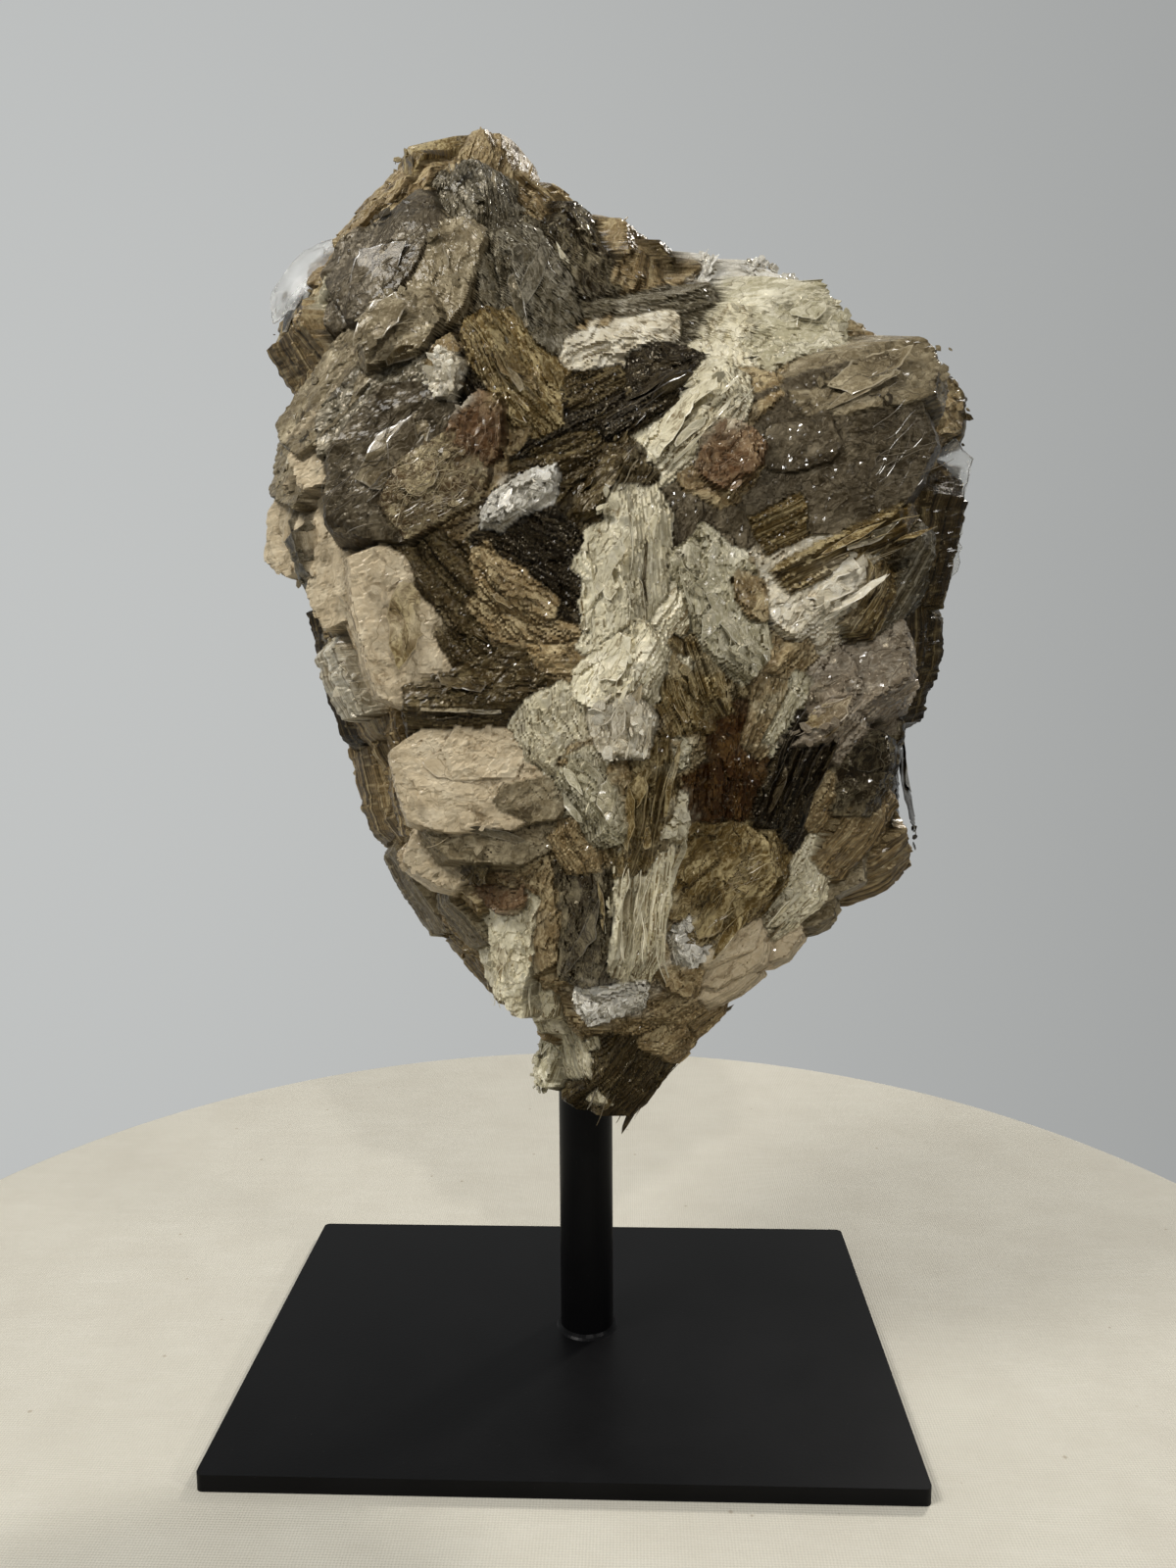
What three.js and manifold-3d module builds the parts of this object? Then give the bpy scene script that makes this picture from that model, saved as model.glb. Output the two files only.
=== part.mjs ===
// A natural mica specimen on a metal display stand: a cluster of intergrown mica books, drilled from below
// and carried by a round post that is welded to a flat base plate.
// Millimetres, +Z up, the front faces -Y. The origin is the middle of the base plate's underside.
import * as THREE from "three";
import { mergeVertices } from "three/addons/utils/BufferGeometryUtils.js";
import Module from "manifold-3d";

const wasm = await Module();
wasm.setup();

// ---------------------------------------------------------------- the stand

const PLATE_LENGTH = 127; // left to right
const PLATE_DEPTH = 89; // front to back
const PLATE_THICK = 3.2;
const PLATE_CORNER = 1.2; // radius of the plate's upright corners

const POST_RADIUS = 5.5;
const POST_X = 3; // the post stands a little right of and behind the plate's middle
const POST_Y = 3;
const POST_TOP = 112; // height of its upper end, inside the cluster
const POST_SIDES = 48;

const WELD_LEG = 0.9; // width and height of the weld seam round the post's foot
const SEAM_GAP = 0.02; // clearance between the seam and the post
const SOCKET_GAP = 0.3; // clearance between the post and the hole drilled for it

// ---------------------------------------------------------------- the mica cluster

const CORE_SIDES = 18;
const BOOK_CORNERS = 6; // corners of a book's outline

// The intergrown inner mass, from its foot to its crown: height, middle (x, y), half width, half depth.
const SECTIONS = [
  { z: 56, x: 9, y: -13, wide: 4, deep: 5 },
  { z: 64, x: 11, y: -11, wide: 8, deep: 9 },
  { z: 76, x: 11, y: -6, wide: 15, deep: 17 },
  { z: 90, x: 12, y: -3, wide: 30, deep: 25 },
  { z: 106, x: 14, y: -2, wide: 43, deep: 30 },
  { z: 126, x: 12, y: -1, wide: 48, deep: 33 },
  { z: 148, x: 12, y: 0, wide: 54, deep: 34 },
  { z: 168, x: 10, y: 0, wide: 60, deep: 33 },
  { z: 186, x: 9, y: 1, wide: 58, deep: 29 },
  { z: 198, x: 4, y: 2, wide: 54, deep: 24 },
  { z: 208, x: -8, y: 2, wide: 40, deep: 20 },
  { z: 219, x: -17, y: 2, wide: 23, deep: 15 },
  { z: 229, x: -17, y: 2, wide: 13, deep: 9 },
  { z: 235, x: -15, y: 2, wide: 6, deep: 5 },
];

// The mica books. Each is [name, x, y, z, grain, facing, long, wide, thick]: a point on its outer surface,
// the angle at which its sheets run as seen from the front, how far its face turns to the front
// (90 faces the front, 0 shows only the sheets' edges), and its three sizes.
const BOOKS = [
  ["crown_left", -26, -4, 232, 75, 35, 12, 13, 10],
  ["crown_peak", -14, -2, 232, 62, 40, 18, 16, 12],
  ["crown_right", -9, 1, 227, -50, 20, 15, 14, 8],
  ["shoulder", -33, -8, 222, 48, 45, 28, 18, 10],
  ["dark_curve", -29, -22, 212, 50, 62, 26, 17, 9],
  ["pearl_face", -18, -24, 211, 70, 68, 17, 13, 9],
  ["blue_chips", -15, -14, 224, 80, 55, 16, 11, 9],
  ["oval_plate", -27, -29, 199, 15, 75, 16, 12, 7],
  ["left_fray", -47, -8, 206, 60, 40, 17, 16, 11],
  ["left_grey", -45, -10, 198, -60, 35, 18, 16, 10],
  ["clear_left", -50, -4, 214, 50, 60, 16, 10, 1.2],
  ["sweep_upper", -38, -24, 190, 50, 50, 30, 17, 7],
  ["sweep_middle", -30, -28, 187, 42, 60, 30, 15, 7],
  ["sweep_outer", -45, -16, 184, 62, 45, 28, 18, 8],
  ["mauve_plate", -42, -22, 180, 65, 70, 15, 11, 7],
  ["smoky_left", -27, -33, 175, 40, 78, 31, 25, 10],
  ["web_patch", -20, -35, 172, 20, 80, 19, 14, 5],
  ["gold_wedge", -7, -33, 191, -57, 25, 25, 14, 5],
  ["dark_fan", -12, -29, 188, -62, 15, 23, 16, 6],
  ["blue_sheet", -5, -24, 207, -78, 55, 26, 12, 8],
  ["grey_fan", 3, -14, 213, -65, 45, 21, 18, 11],
  ["brown_fan", 10, -9, 214, 60, 35, 18, 16, 10],
  ["olive_leaf", 17, -7, 212, 75, 60, 15, 10, 7],
  ["ledge", 12, -16, 205, 8, 20, 30, 22, 9],
  ["recess", 14, -10, 194, 5, 60, 27, 17, 9],
  ["pale_crust", 42, -21, 198, 15, 65, 21, 14, 13],
  ["sparkle_top", 31, -4, 209, 5, 30, 17, 13, 8],
  ["diagonal_upper", -1, -25, 183, 25, 18, 34, 22, 5],
  ["diagonal_middle", 8, -28, 183, 27, 12, 36, 20, 4],
  ["diagonal_lower", -2, -31, 176, 22, 20, 30, 20, 5],
  ["diagonal_black", 15, -30, 187, 30, 15, 25, 18, 4],
  ["cream_wedge", 22, -35, 182, 45, 35, 27, 13, 6],
  ["cream_gold", 9, -37, 172, 48, 30, 17, 12, 6],
  ["white_column", 12, -41, 159, 88, 40, 27, 11, 8],
  ["grey_mass", 20, -35, 164, 70, 55, 23, 14, 10],
  ["dark_rays", 1, -32, 158, -30, 25, 25, 18, 9],
  ["silver_fan", -7, -36, 155, -38, 45, 16, 12, 7],
  ["low_rays", -2, -33, 149, -14, 32, 21, 15, 7],
  ["olive_blade", -18, -33, 155, -50, 40, 27, 13, 6],
  ["crinkle_rim", -49, -12, 168, 80, 65, 23, 15, 10],
  ["crinkle_inner", -38, -24, 157, 70, 60, 19, 13, 9],
  ["beige_upper", -27, -34, 149, -75, 80, 28, 18, 8],
  ["white_fray", -38, -22, 140, -65, 40, 17, 11, 8],
  ["brown_lens", -13, -36, 139, 2, 50, 30, 15, 9],
  ["rim_strip", -41, -8, 139, -72, 20, 38, 22, 6],
  ["rim_twist", -34, -8, 118, -72, 30, 31, 20, 7],
  ["beige_middle", -16, -35, 123, -10, 78, 30, 20, 8],
  ["mottled", -12, -34, 113, 0, 70, 25, 13, 8],
  ["beige_lower", -22, -28, 107, -10, 70, 15, 10, 7],
  ["rim_low", -25, -12, 101, -58, 45, 25, 17, 9],
  ["rim_foot", -14, -14, 88, -45, 40, 21, 16, 9],
  ["shell", -3, -31, 100, 82, 50, 33, 16, 9],
  ["shell_rim", -8, -25, 92, 78, 40, 27, 10, 5],
  ["glassy_low", 6, -37, 98, 88, 50, 25, 11, 7],
  ["column_low", 13, -39, 102, 85, 12, 31, 16, 9],
  ["tuft", -3, -16, 67, 68, 35, 15, 7, 3],
  ["tip", 11, -22, 69, 56, 25, 31, 15, 12],
  ["tip_cream", 5, -20, 70, -75, 45, 21, 10, 7],
  ["cream_mass", 12, -43, 142, 60, 45, 17, 15, 10],
  ["pale_leaf", 7, -42, 121, -62, 50, 17, 9, 5],
  ["gold_blade", 14, -42, 119, 80, 25, 25, 12, 4],
  ["gold_strands", 20, -40, 139, -72, 25, 19, 11, 7],
  ["amber", 27, -35, 130, 80, 60, 17, 12, 9],
  ["big_smoky", 47, -31, 177, 25, 82, 38, 28, 10],
  ["upper_strip", 53, -27, 188, 14, 68, 30, 12, 9],
  ["corner", 67, -12, 188, -50, 60, 14, 13, 9],
  ["right_tab", 71, -7, 187, 88, 65, 15, 9, 3],
  ["clear_right", 71, -7, 174, 70, 60, 19, 12, 1.2],
  ["clear_long", 71, -5, 162, 80, 55, 25, 10, 1.2],
  ["edge_book", 65, -17, 165, 75, 12, 29, 24, 10],
  ["gold_hem", 48, -35, 163, 24, 18, 29, 15, 5],
  ["white_patch", 44, -33, 155, 30, 65, 21, 15, 10],
  ["blue_blade", 57, -29, 155, 60, 25, 25, 13, 5],
  ["pale_green", 26, -39, 152, -70, 60, 27, 14, 9],
  ["lilac", 50, -31, 140, 32, 65, 27, 16, 9],
  ["lilac_small", 45, -32, 134, 40, 60, 17, 10, 6],
  ["rim_dark", 62, -12, 143, 86, 20, 29, 24, 10],
  ["rim_dark_low", 60, -12, 119, -87, 18, 33, 26, 10],
  ["dark_strands", 39, -33, 125, 68, 15, 29, 18, 9],
  ["smoky_glass", 53, -28, 123, 60, 70, 17, 13, 8],
  ["brown_grain", 48, -27, 113, 55, 35, 23, 16, 10],
  ["rim_right_low", 56, -14, 106, 20, 25, 20, 20, 10],
  ["tan_plate", 27, -35, 105, 50, 75, 23, 18, 9],
  ["white_tan", 39, -28, 101, 48, 45, 17, 13, 8],
  ["beige_foot", 29, -29, 91, 30, 68, 17, 13, 9],
  ["dark_low", 21, -24, 79, 50, 45, 18, 12, 9],
];

// The books round the sides and back follow a spiral up the inner mass.
const REAR = { count: 44, lowest: 70, highest: 214, from: -20, to: 206, stray: 62 };
const REAR_LONG = [16, 32]; // shortest and longest
const REAR_WIDE = [0.55, 0.85]; // share of the length
const REAR_THICK = [6, 12];
const REAR_SINK = 0.3; // how far a book sinks in: this share of its thickness, and at the sides of its length
const REAR_SEED = 500;
const GOLDEN = 0.618034; // spreads the books evenly round the spiral

// ---------------------------------------------------------------- helpers

const radians = THREE.MathUtils.degToRad;
const mix = THREE.MathUtils.lerp;

// A number from 0 to 1 that depends only on its two seeds.
function chance(seed, step) {
  const wave = Math.sin(seed * 12.9898 + step * 78.233) * 43758.5453;
  return wave - Math.floor(wave);
}

function solid(geometry) {
  const bare = geometry.clone().deleteAttribute("normal").deleteAttribute("uv");
  const merged = mergeVertices(bare, 1e-4);
  const mesh = new wasm.Mesh({
    numProp: 3,
    vertProperties: merged.attributes.position.array,
    triVerts: new Uint32Array(merged.index.array),
  });
  return new wasm.Manifold(mesh);
}

function geometryOf(manifold) {
  const mesh = manifold.getMesh();
  const geometry = new THREE.BufferGeometry();
  geometry.setAttribute("position", new THREE.BufferAttribute(mesh.vertProperties, 3));
  geometry.setIndex(new THREE.BufferAttribute(mesh.triVerts, 1));
  geometry.computeVertexNormals();
  return geometry;
}

function named(name, geometry, material) {
  const mesh = new THREE.Mesh(geometry, material);
  mesh.name = name;
  return mesh;
}

// A cylinder standing on z = bottom.
function upright(radius, bottom, top) {
  return new THREE.CylinderGeometry(radius, radius, top - bottom, POST_SIDES)
    .rotateX(Math.PI / 2)
    .translate(POST_X, POST_Y, (bottom + top) / 2);
}

// ---------------------------------------------------------------- stand pieces

function basePlate() {
  const [halfLong, halfDeep, r] = [PLATE_LENGTH / 2, PLATE_DEPTH / 2, PLATE_CORNER];
  const outline = new THREE.Shape();
  outline.moveTo(-halfLong + r, -halfDeep);
  outline.absarc(halfLong - r, -halfDeep + r, r, -Math.PI / 2, 0);
  outline.absarc(halfLong - r, halfDeep - r, r, 0, Math.PI / 2);
  outline.absarc(-halfLong + r, halfDeep - r, r, Math.PI / 2, Math.PI);
  outline.absarc(-halfLong + r, -halfDeep + r, r, Math.PI, 1.5 * Math.PI);
  return new THREE.ExtrudeGeometry(outline, {
    depth: PLATE_THICK,
    bevelEnabled: false,
    curveSegments: 5,
  });
}

function weldSeam() {
  const inner = POST_RADIUS + SEAM_GAP;
  const profile = [
    new THREE.Vector2(inner, 0),
    new THREE.Vector2(inner + WELD_LEG, 0),
    new THREE.Vector2(inner + 0.55 * WELD_LEG, 0.4 * WELD_LEG),
    new THREE.Vector2(inner + 0.12 * WELD_LEG, WELD_LEG),
    new THREE.Vector2(inner, WELD_LEG),
    new THREE.Vector2(inner, 0),
  ];
  return new THREE.LatheGeometry(profile, POST_SIDES)
    .rotateX(Math.PI / 2)
    .translate(POST_X, POST_Y, PLATE_THICK);
}

// ---------------------------------------------------------------- mica

// The inner mass at a height, between the two nearest sections.
function sectionAt(z) {
  const above = Math.max(1, SECTIONS.findIndex((s) => s.z >= z));
  const [low, high] = [SECTIONS[above - 1], SECTIONS[above]];
  const share = (z - low.z) / (high.z - low.z);
  return Object.fromEntries(["x", "y", "wide", "deep"].map((k) => [k, mix(low[k], high[k], share)]));
}

// The inner mass: a unit lathe with one ring for each section, each ring stretched to its oval.
function core() {
  const ends = [SECTIONS[0], SECTIONS[SECTIONS.length - 1]];
  const profile = [
    new THREE.Vector2(0, ends[0].z),
    ...SECTIONS.map((s) => new THREE.Vector2(1, s.z)),
    new THREE.Vector2(0, ends[1].z),
  ];
  const lathe = new THREE.LatheGeometry(profile, CORE_SIDES).rotateX(Math.PI / 2);
  const places = lathe.attributes.position;
  for (let i = 0; i < places.count; i++) {
    const level = i % profile.length;
    const section = SECTIONS[THREE.MathUtils.clamp(level - 1, 0, SECTIONS.length - 1)];
    places.setXYZ(
      i,
      section.x + section.wide * places.getX(i),
      section.y + section.deep * places.getY(i),
      section.z,
    );
  }
  return lathe;
}

// An irregular outline of straight breaks, inside an oval of the given length and width.
function brokenOutline(seed, long, wide) {
  const corners = [];
  for (let k = 0; k < BOOK_CORNERS; k++) {
    const turn = (2 * Math.PI * (k + 0.6 * chance(seed, k))) / BOOK_CORNERS;
    const reach = 0.5 * (0.86 + 0.26 * chance(seed, k + 20));
    corners.push(new THREE.Vector2(long * reach * Math.cos(turn), wide * reach * Math.sin(turn)));
  }
  return new THREE.Shape(corners);
}

// A book's axes: along the grain, across it in the sheets' plane, and out of its face.
function bookAxes(grain, facing) {
  const [a, f] = [radians(grain), radians(facing)];
  const along = new THREE.Vector3(Math.cos(a), 0, Math.sin(a));
  const out = new THREE.Vector3(-Math.sin(a) * Math.cos(f), -Math.sin(f), Math.cos(a) * Math.cos(f));
  return [along, new THREE.Vector3().crossVectors(out, along), out];
}

// A book: its outline extruded through its thickness.
function book(seed, middle, axes, long, wide, thick) {
  const outline = brokenOutline(seed, long, wide);
  const slab = new THREE.ExtrudeGeometry(outline, { depth: thick, bevelEnabled: false });
  const place = new THREE.Matrix4().makeBasis(...axes).setPosition(middle);
  return solid(slab.translate(0, 0, -thick / 2).applyMatrix4(place));
}

function frontBook([, x, y, z, grain, facing, long, wide, thick]) {
  const axes = bookAxes(grain, facing);
  const inward = (Math.cos(radians(facing)) * wide + Math.sin(radians(facing)) * thick) / 2;
  return book(x + z / 3, new THREE.Vector3(x, y + inward, z), axes, long, wide, thick);
}

function rearBook(index) {
  const seed = REAR_SEED + index;
  const pick = ([low, high], step) => mix(low, high, chance(seed, step));
  const z = mix(REAR.lowest, REAR.highest, (index + 0.5) / REAR.count);
  const turn = radians(mix(REAR.from, REAR.to, (index * GOLDEN) % 1));
  const at = sectionAt(z);
  const outward = new THREE.Vector3(at.deep * Math.cos(turn), at.wide * Math.sin(turn), 0).normalize();
  const tilt = radians(REAR.stray * (2 * chance(seed, 40) - 1));
  const yaw = radians(REAR.stray * (2 * chance(seed, 41) - 1));
  const out = outward.clone().applyAxisAngle(new THREE.Vector3(0, 0, 1), yaw);
  const sideways = new THREE.Vector3(-out.y, out.x, 0);
  out.applyAxisAngle(sideways, tilt);
  const along = sideways.clone().applyAxisAngle(out, Math.PI * chance(seed, 42));
  const long = pick(REAR_LONG, 43) * Math.min(1, at.wide / 50);
  const wide = long * pick(REAR_WIDE, 44);
  const thick = pick(REAR_THICK, 45);
  const middle = new THREE.Vector3(at.x + at.wide * Math.cos(turn), at.y + at.deep * Math.sin(turn), z);
  middle.addScaledVector(outward, -REAR_SINK * mix(thick, long, Math.cos(turn) ** 2));
  return book(seed, middle, [along, new THREE.Vector3().crossVectors(out, along), out], long, wide, thick);
}

// All books and the inner mass grown together, with the drilled socket. Voids that the books seal off between
// them are filled, because only the outer surface is kept.
function micaCluster() {
  let cluster = solid(core());
  for (const entry of BOOKS) cluster = cluster.add(frontBook(entry));
  for (let i = 0; i < REAR.count; i++) cluster = cluster.add(rearBook(i));
  const [outer] = cluster.decompose().sort((a, b) => b.volume() - a.volume());
  const socket = upright(POST_RADIUS + SOCKET_GAP, 0, POST_TOP + SOCKET_GAP);
  return geometryOf(outer.subtract(solid(socket)).simplify(0.01));
}

// ---------------------------------------------------------------- materials and assembly

const blackCoat = new THREE.MeshStandardMaterial({ color: 0x1b1c1e, roughness: 0.55, metalness: 0.1 });
const weldCoat = new THREE.MeshStandardMaterial({ color: 0x141415, roughness: 0.4, metalness: 0.1 });
const mica = new THREE.MeshStandardMaterial({ color: 0x83745c, roughness: 0.4, metalness: 0.1 });

const specimen = new THREE.Group();
specimen.add(
  named("base_plate", basePlate(), blackCoat),
  named("post", upright(POST_RADIUS, PLATE_THICK, POST_TOP), blackCoat),
  named("weld_seam", weldSeam(), weldCoat),
  named("mica_cluster", micaCluster(), mica),
);

export default specimen;
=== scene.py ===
from dataclasses import dataclass

import bpy
import numpy as np
from mathutils import Matrix, Vector


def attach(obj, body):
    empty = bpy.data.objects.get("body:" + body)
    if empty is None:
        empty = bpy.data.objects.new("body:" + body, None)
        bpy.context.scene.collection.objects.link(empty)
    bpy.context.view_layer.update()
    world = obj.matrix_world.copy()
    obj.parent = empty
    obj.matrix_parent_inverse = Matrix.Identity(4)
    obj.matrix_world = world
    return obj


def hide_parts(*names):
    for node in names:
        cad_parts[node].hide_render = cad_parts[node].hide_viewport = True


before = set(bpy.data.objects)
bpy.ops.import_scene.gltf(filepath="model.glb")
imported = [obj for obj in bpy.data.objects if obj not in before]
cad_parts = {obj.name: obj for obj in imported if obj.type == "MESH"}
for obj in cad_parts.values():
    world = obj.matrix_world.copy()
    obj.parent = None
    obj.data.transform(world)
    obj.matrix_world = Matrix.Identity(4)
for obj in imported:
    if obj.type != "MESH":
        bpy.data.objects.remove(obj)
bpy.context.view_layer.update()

MM = 0.001
TURN = 2 * np.pi

# ---------------------------------------------------------------- the mica books

# Each book is (x, y, z, grain, facing, long, wide, thick, finish): a point on its outer surface, the angle at
# which its sheets run as seen from the front, how far its face turns to the front (90 faces the front,
# 0 shows only the sheets' edges), and its three sizes.
BOOKS = {
    "crown": [
        (-26, -4, 232, 75, 35, 12, 13, 10, "gold"),
        (-14, -2, 232, 62, 40, 18, 16, 12, "tan"),
        (-9, 1, 227, -50, 20, 15, 14, 8, "frost"),
        (-33, -8, 222, 48, 45, 28, 18, 10, "tan"),
        (-29, -22, 212, 50, 62, 26, 17, 9, "smoky"),
        (-18, -24, 211, 70, 68, 17, 13, 9, "pearl"),
        (-15, -14, 224, 80, 55, 16, 11, 9, "slate"),
    ],
    "left_shoulder": [
        (-27, -29, 199, 15, 75, 16, 12, 7, "pearl"),
        (-47, -8, 206, 60, 40, 17, 16, 11, "gold"),
        (-45, -10, 198, -60, 35, 18, 16, 10, "tan"),
        (-50, -4, 214, 50, 60, 16, 10, 0.8, "clear"),
        (-38, -24, 190, 50, 50, 30, 17, 7, "pearl"),
        (-30, -28, 187, 42, 60, 30, 15, 7, "slate"),
        (-45, -16, 184, 62, 45, 28, 18, 8, "pearl"),
        (-42, -22, 180, 65, 70, 15, 11, 7, "blush"),
    ],
    "smoky_flank": [
        (-27, -33, 175, 40, 78, 31, 25, 10, "smoky"),
        (-20, -35, 172, 20, 80, 19, 14, 5, "web"),
        (-13, -34.5, 181, 80, 75, 13, 9, 2, "russet"),
        (-18, -35, 190, 80, 70, 8, 5, 5, "white"),
    ],
    "hollow": [
        (-7, -33, 191, -57, 25, 25, 14, 5, "gold"),
        (-12, -29, 188, -62, 15, 23, 16, 6, "umber"),
        (-5, -24, 207, -78, 55, 26, 12, 8, "slate"),
        (3, -14, 213, -65, 45, 21, 18, 11, "glassy"),
        (10, -9, 214, 60, 35, 18, 16, 10, "tan"),
        (17, -7, 212, 75, 60, 15, 10, 7, "olive"),
        (12, -16, 205, 8, 20, 30, 22, 9, "slate"),
        # This pale sheet low on the ledge is painted sheen: a white finish where the ledge's sheets catch the light.
        (8, -20, 199, 6, 42, 27, 8, 4, "white"),
        # The dark umber book set back under the ledge is painted shade: a dark sheet where the recess lies in shade.
        (14, -7, 194, 5, 60, 27, 17, 9, "umber"),
    ],
    "upper_crust": [
        (31, -19, 198, 70, 65, 13, 11, 10, "cream"),
        (42, -21, 198, 15, 65, 21, 14, 13, "frost"),
        (31, -4, 211, 5, 30, 17, 13, 8, "silver"),
        (25, -8, 212, 40, 55, 9, 7, 5, "silver"),
        (37, -8, 211, -25, 60, 11, 7, 5, "silver"),
    ],
    "diagonals": [
        (-1, -25, 183, 25, 18, 34, 22, 5, "umber"),
        (8, -28, 183, 27, 12, 36, 20, 4, "olive"),
        (-2, -31, 176, 22, 20, 30, 20, 5, "olive"),
        (15, -30, 187, 30, 15, 25, 18, 4, "umber"),
        (22, -35, 182, 45, 35, 27, 13, 6, "cream"),
        (9, -37, 172, 48, 30, 17, 12, 6, "olive"),
        (-6, -36.5, 170, 32, 60, 15, 5, 2, "silver"),
    ],
    "centre": [
        (12, -41, 159, 88, 40, 27, 11, 8, "cream"),
        (20, -35, 164, 70, 55, 23, 14, 10, "smoky"),
        (29, -37.5, 177, 40, 75, 12, 10, 2, "russet"),
        (1, -32, 158, -30, 25, 25, 18, 9, "umber"),
        (-7, -36, 155, -38, 45, 16, 12, 7, "tan"),
        (-2, -33, 149, -14, 32, 21, 15, 7, "tan"),
        (-18, -33, 155, -50, 40, 27, 13, 6, "olive"),
    ],
    "left_plates": [
        (-49, -12, 168, 80, 65, 23, 15, 10, "blush"),
        (-45, -18, 162, -60, 60, 13, 9, 7, "slate"),
        (-38, -24, 157, 70, 60, 19, 13, 9, "blush"),
        (-27, -34, 149, -75, 80, 28, 18, 8, "blush"),
        (-38, -22, 140, -65, 40, 17, 11, 8, "white"),
        (-13, -36, 139, 2, 50, 30, 15, 9, "olive"),
    ],
    "left_rim": [
        (-41, -8, 139, -72, 20, 38, 22, 6, "olive"),
        (-34, -8, 118, -72, 30, 31, 20, 7, "tan"),
        (-25, -12, 101, -58, 45, 25, 17, 9, "pearl"),
        (-14, -14, 88, -45, 40, 21, 16, 9, "tan"),
    ],
    "lower_left": [
        (-16, -35, 123, -10, 78, 30, 20, 8, "blush"),
        (-12, -34, 113, 0, 70, 25, 13, 8, "pearl"),
        (-22, -28, 107, -10, 70, 15, 10, 7, "blush"),
        (-14, -32, 109, 80, 55, 10, 6, 2, "olive"),
        (-9, -30, 103, 40, 60, 10, 8, 2, "russet"),
    ],
    "shell": [
        (-3, -31, 100, 82, 50, 33, 16, 9, "tan"),
        (-8, -29, 92, 78, 50, 27, 10, 5, "cream"),
    ],
    "keel": [
        (6, -37, 98, 88, 50, 25, 11, 7, "glassy"),
        (13, -39, 102, 85, 12, 31, 16, 9, "cream"),
        (9, -32, 84, 20, 60, 14, 8, 6, "silver"),
        (-3, -16, 67, 68, 35, 15, 7, 3, "frost"),
        (11, -22, 69, 56, 25, 31, 15, 12, "olive"),
        (5, -20, 70, -75, 45, 21, 10, 7, "cream"),
    ],
    "heart": [
        (12, -43, 142, 60, 45, 17, 15, 10, "cream"),
        (1, -36, 131, -70, 62, 15, 10, 5, "cream"),
        (11, -44, 133, 80, 60, 12, 10, 4, "white"),
        (7, -42, 121, -62, 50, 17, 9, 5, "frost"),
        (14, -42, 119, 80, 25, 25, 12, 4, "gold"),
        (19, -38.5, 128, 20, 65, 7, 6, 1.5, "frost"),
        (19, -38.5, 116, 0, 60, 7, 5, 1.5, "cream"),
        (20, -40, 139, -72, 25, 19, 11, 7, "gold"),
        (27, -35, 130, 80, 60, 17, 12, 9, "amber"),
        (26, -39, 152, -70, 60, 27, 14, 9, "frost"),
    ],
    "smoky_plate": [
        (47, -31, 177, 25, 82, 38, 28, 10, "smoky"),
        (53, -30, 188, 14, 68, 30, 12, 9, "pearl"),
        (67, -12, 188, -50, 60, 14, 13, 9, "tan"),
    ],
    "right_rim": [
        (71, -7, 187, 88, 65, 15, 9, 3, "olive"),
        (69, -10, 174, 70, 62, 19, 12, 0.8, "clear"),
        (69, -11, 162, 82, 60, 26, 9, 0.8, "clear"),
        (65, -17, 165, 75, 12, 29, 24, 10, "olive"),
        (62, -12, 143, 86, 20, 29, 24, 10, "olive"),
        (60, -12, 119, -87, 18, 33, 26, 10, "umber"),
        (56, -14, 106, 20, 25, 20, 20, 10, "tan"),
    ],
    "right_band": [
        (48, -35, 163, 24, 18, 29, 15, 5, "gold"),
        (44, -36, 155, 30, 65, 21, 15, 10, "white"),
        (51, -34, 153, 58, 35, 14, 10, 7, "gold"),
        (57, -29, 155, 60, 25, 25, 13, 5, "slate"),
        (50, -31, 140, 32, 65, 27, 16, 9, "lilac"),
        (45, -34, 134, 40, 60, 17, 10, 6, "lilac"),
    ],
    "lower_right": [
        (37, -33, 134, 58, 40, 15, 8, 5, "frost"),
        (39, -33, 125, 68, 15, 29, 18, 9, "umber"),
        (53, -28, 123, 60, 70, 17, 13, 8, "glassy"),
        (48, -27, 113, 55, 35, 23, 16, 10, "tan"),
        (27, -35, 105, 50, 75, 23, 18, 9, "gold"),
        (39, -28, 101, 48, 45, 17, 13, 8, "cream"),
        (46, -20, 97, 30, 55, 12, 9, 5, "pearl"),
        (29, -29, 91, 30, 68, 17, 13, 9, "blush"),
        (22, -35, 95, -70, 60, 9, 6, 4, "silver"),
        (21, -24, 79, 50, 45, 18, 12, 9, "tan"),
    ],
}

# The intergrown inner mass from its foot to its crown: height, middle x, middle y, half width, half depth.
SECTIONS = np.array([
    (56, 9, -13, 4, 5),
    (64, 11, -11, 8, 9),
    (76, 11, -6, 15, 17),
    (90, 12, -3, 30, 25),
    (106, 14, -2, 43, 30),
    (126, 12, -1, 48, 33),
    (148, 12, 0, 54, 34),
    (168, 10, 0, 60, 33),
    (186, 9, 1, 58, 29),
    (198, 4, 2, 54, 24),
    (208, -8, 2, 40, 20),
    (219, -17, 2, 23, 15),
    (229, -17, 2, 13, 9),
    (235, -15, 2, 6, 5),
    (241, -15, 2, 1.5, 1.5),
], float)

BOOK_CORNERS = 6
CLEAR_PASSED_OVER = 6

# The books round the sides and back follow a spiral up the inner mass.
REAR_COUNT = 84
REAR_HEIGHTS = (70, 214)
REAR_TURN = (-20, 206)
REAR_STRAY = 62
REAR_LONG = (16, 34)
REAR_WIDE = (0.35, 0.62)
REAR_THICK = (4, 8)
REAR_SINK = 0.3
REAR_SEED = 500
GOLDEN = 0.618034
REAR_FINISHES = ["umber", "olive", "smoky", "tan", "olive", "gold", "pearl", "tan", "cream", "pearl", "slate"]
REAR_PIECES = 6

# Small books fill the seams between the named ones at the front.
FILL_COUNT = 170
FILL_SEED = 900
NEVER_FILL = ("clear", "silver", "web", "russet", "white", "frost")


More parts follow.
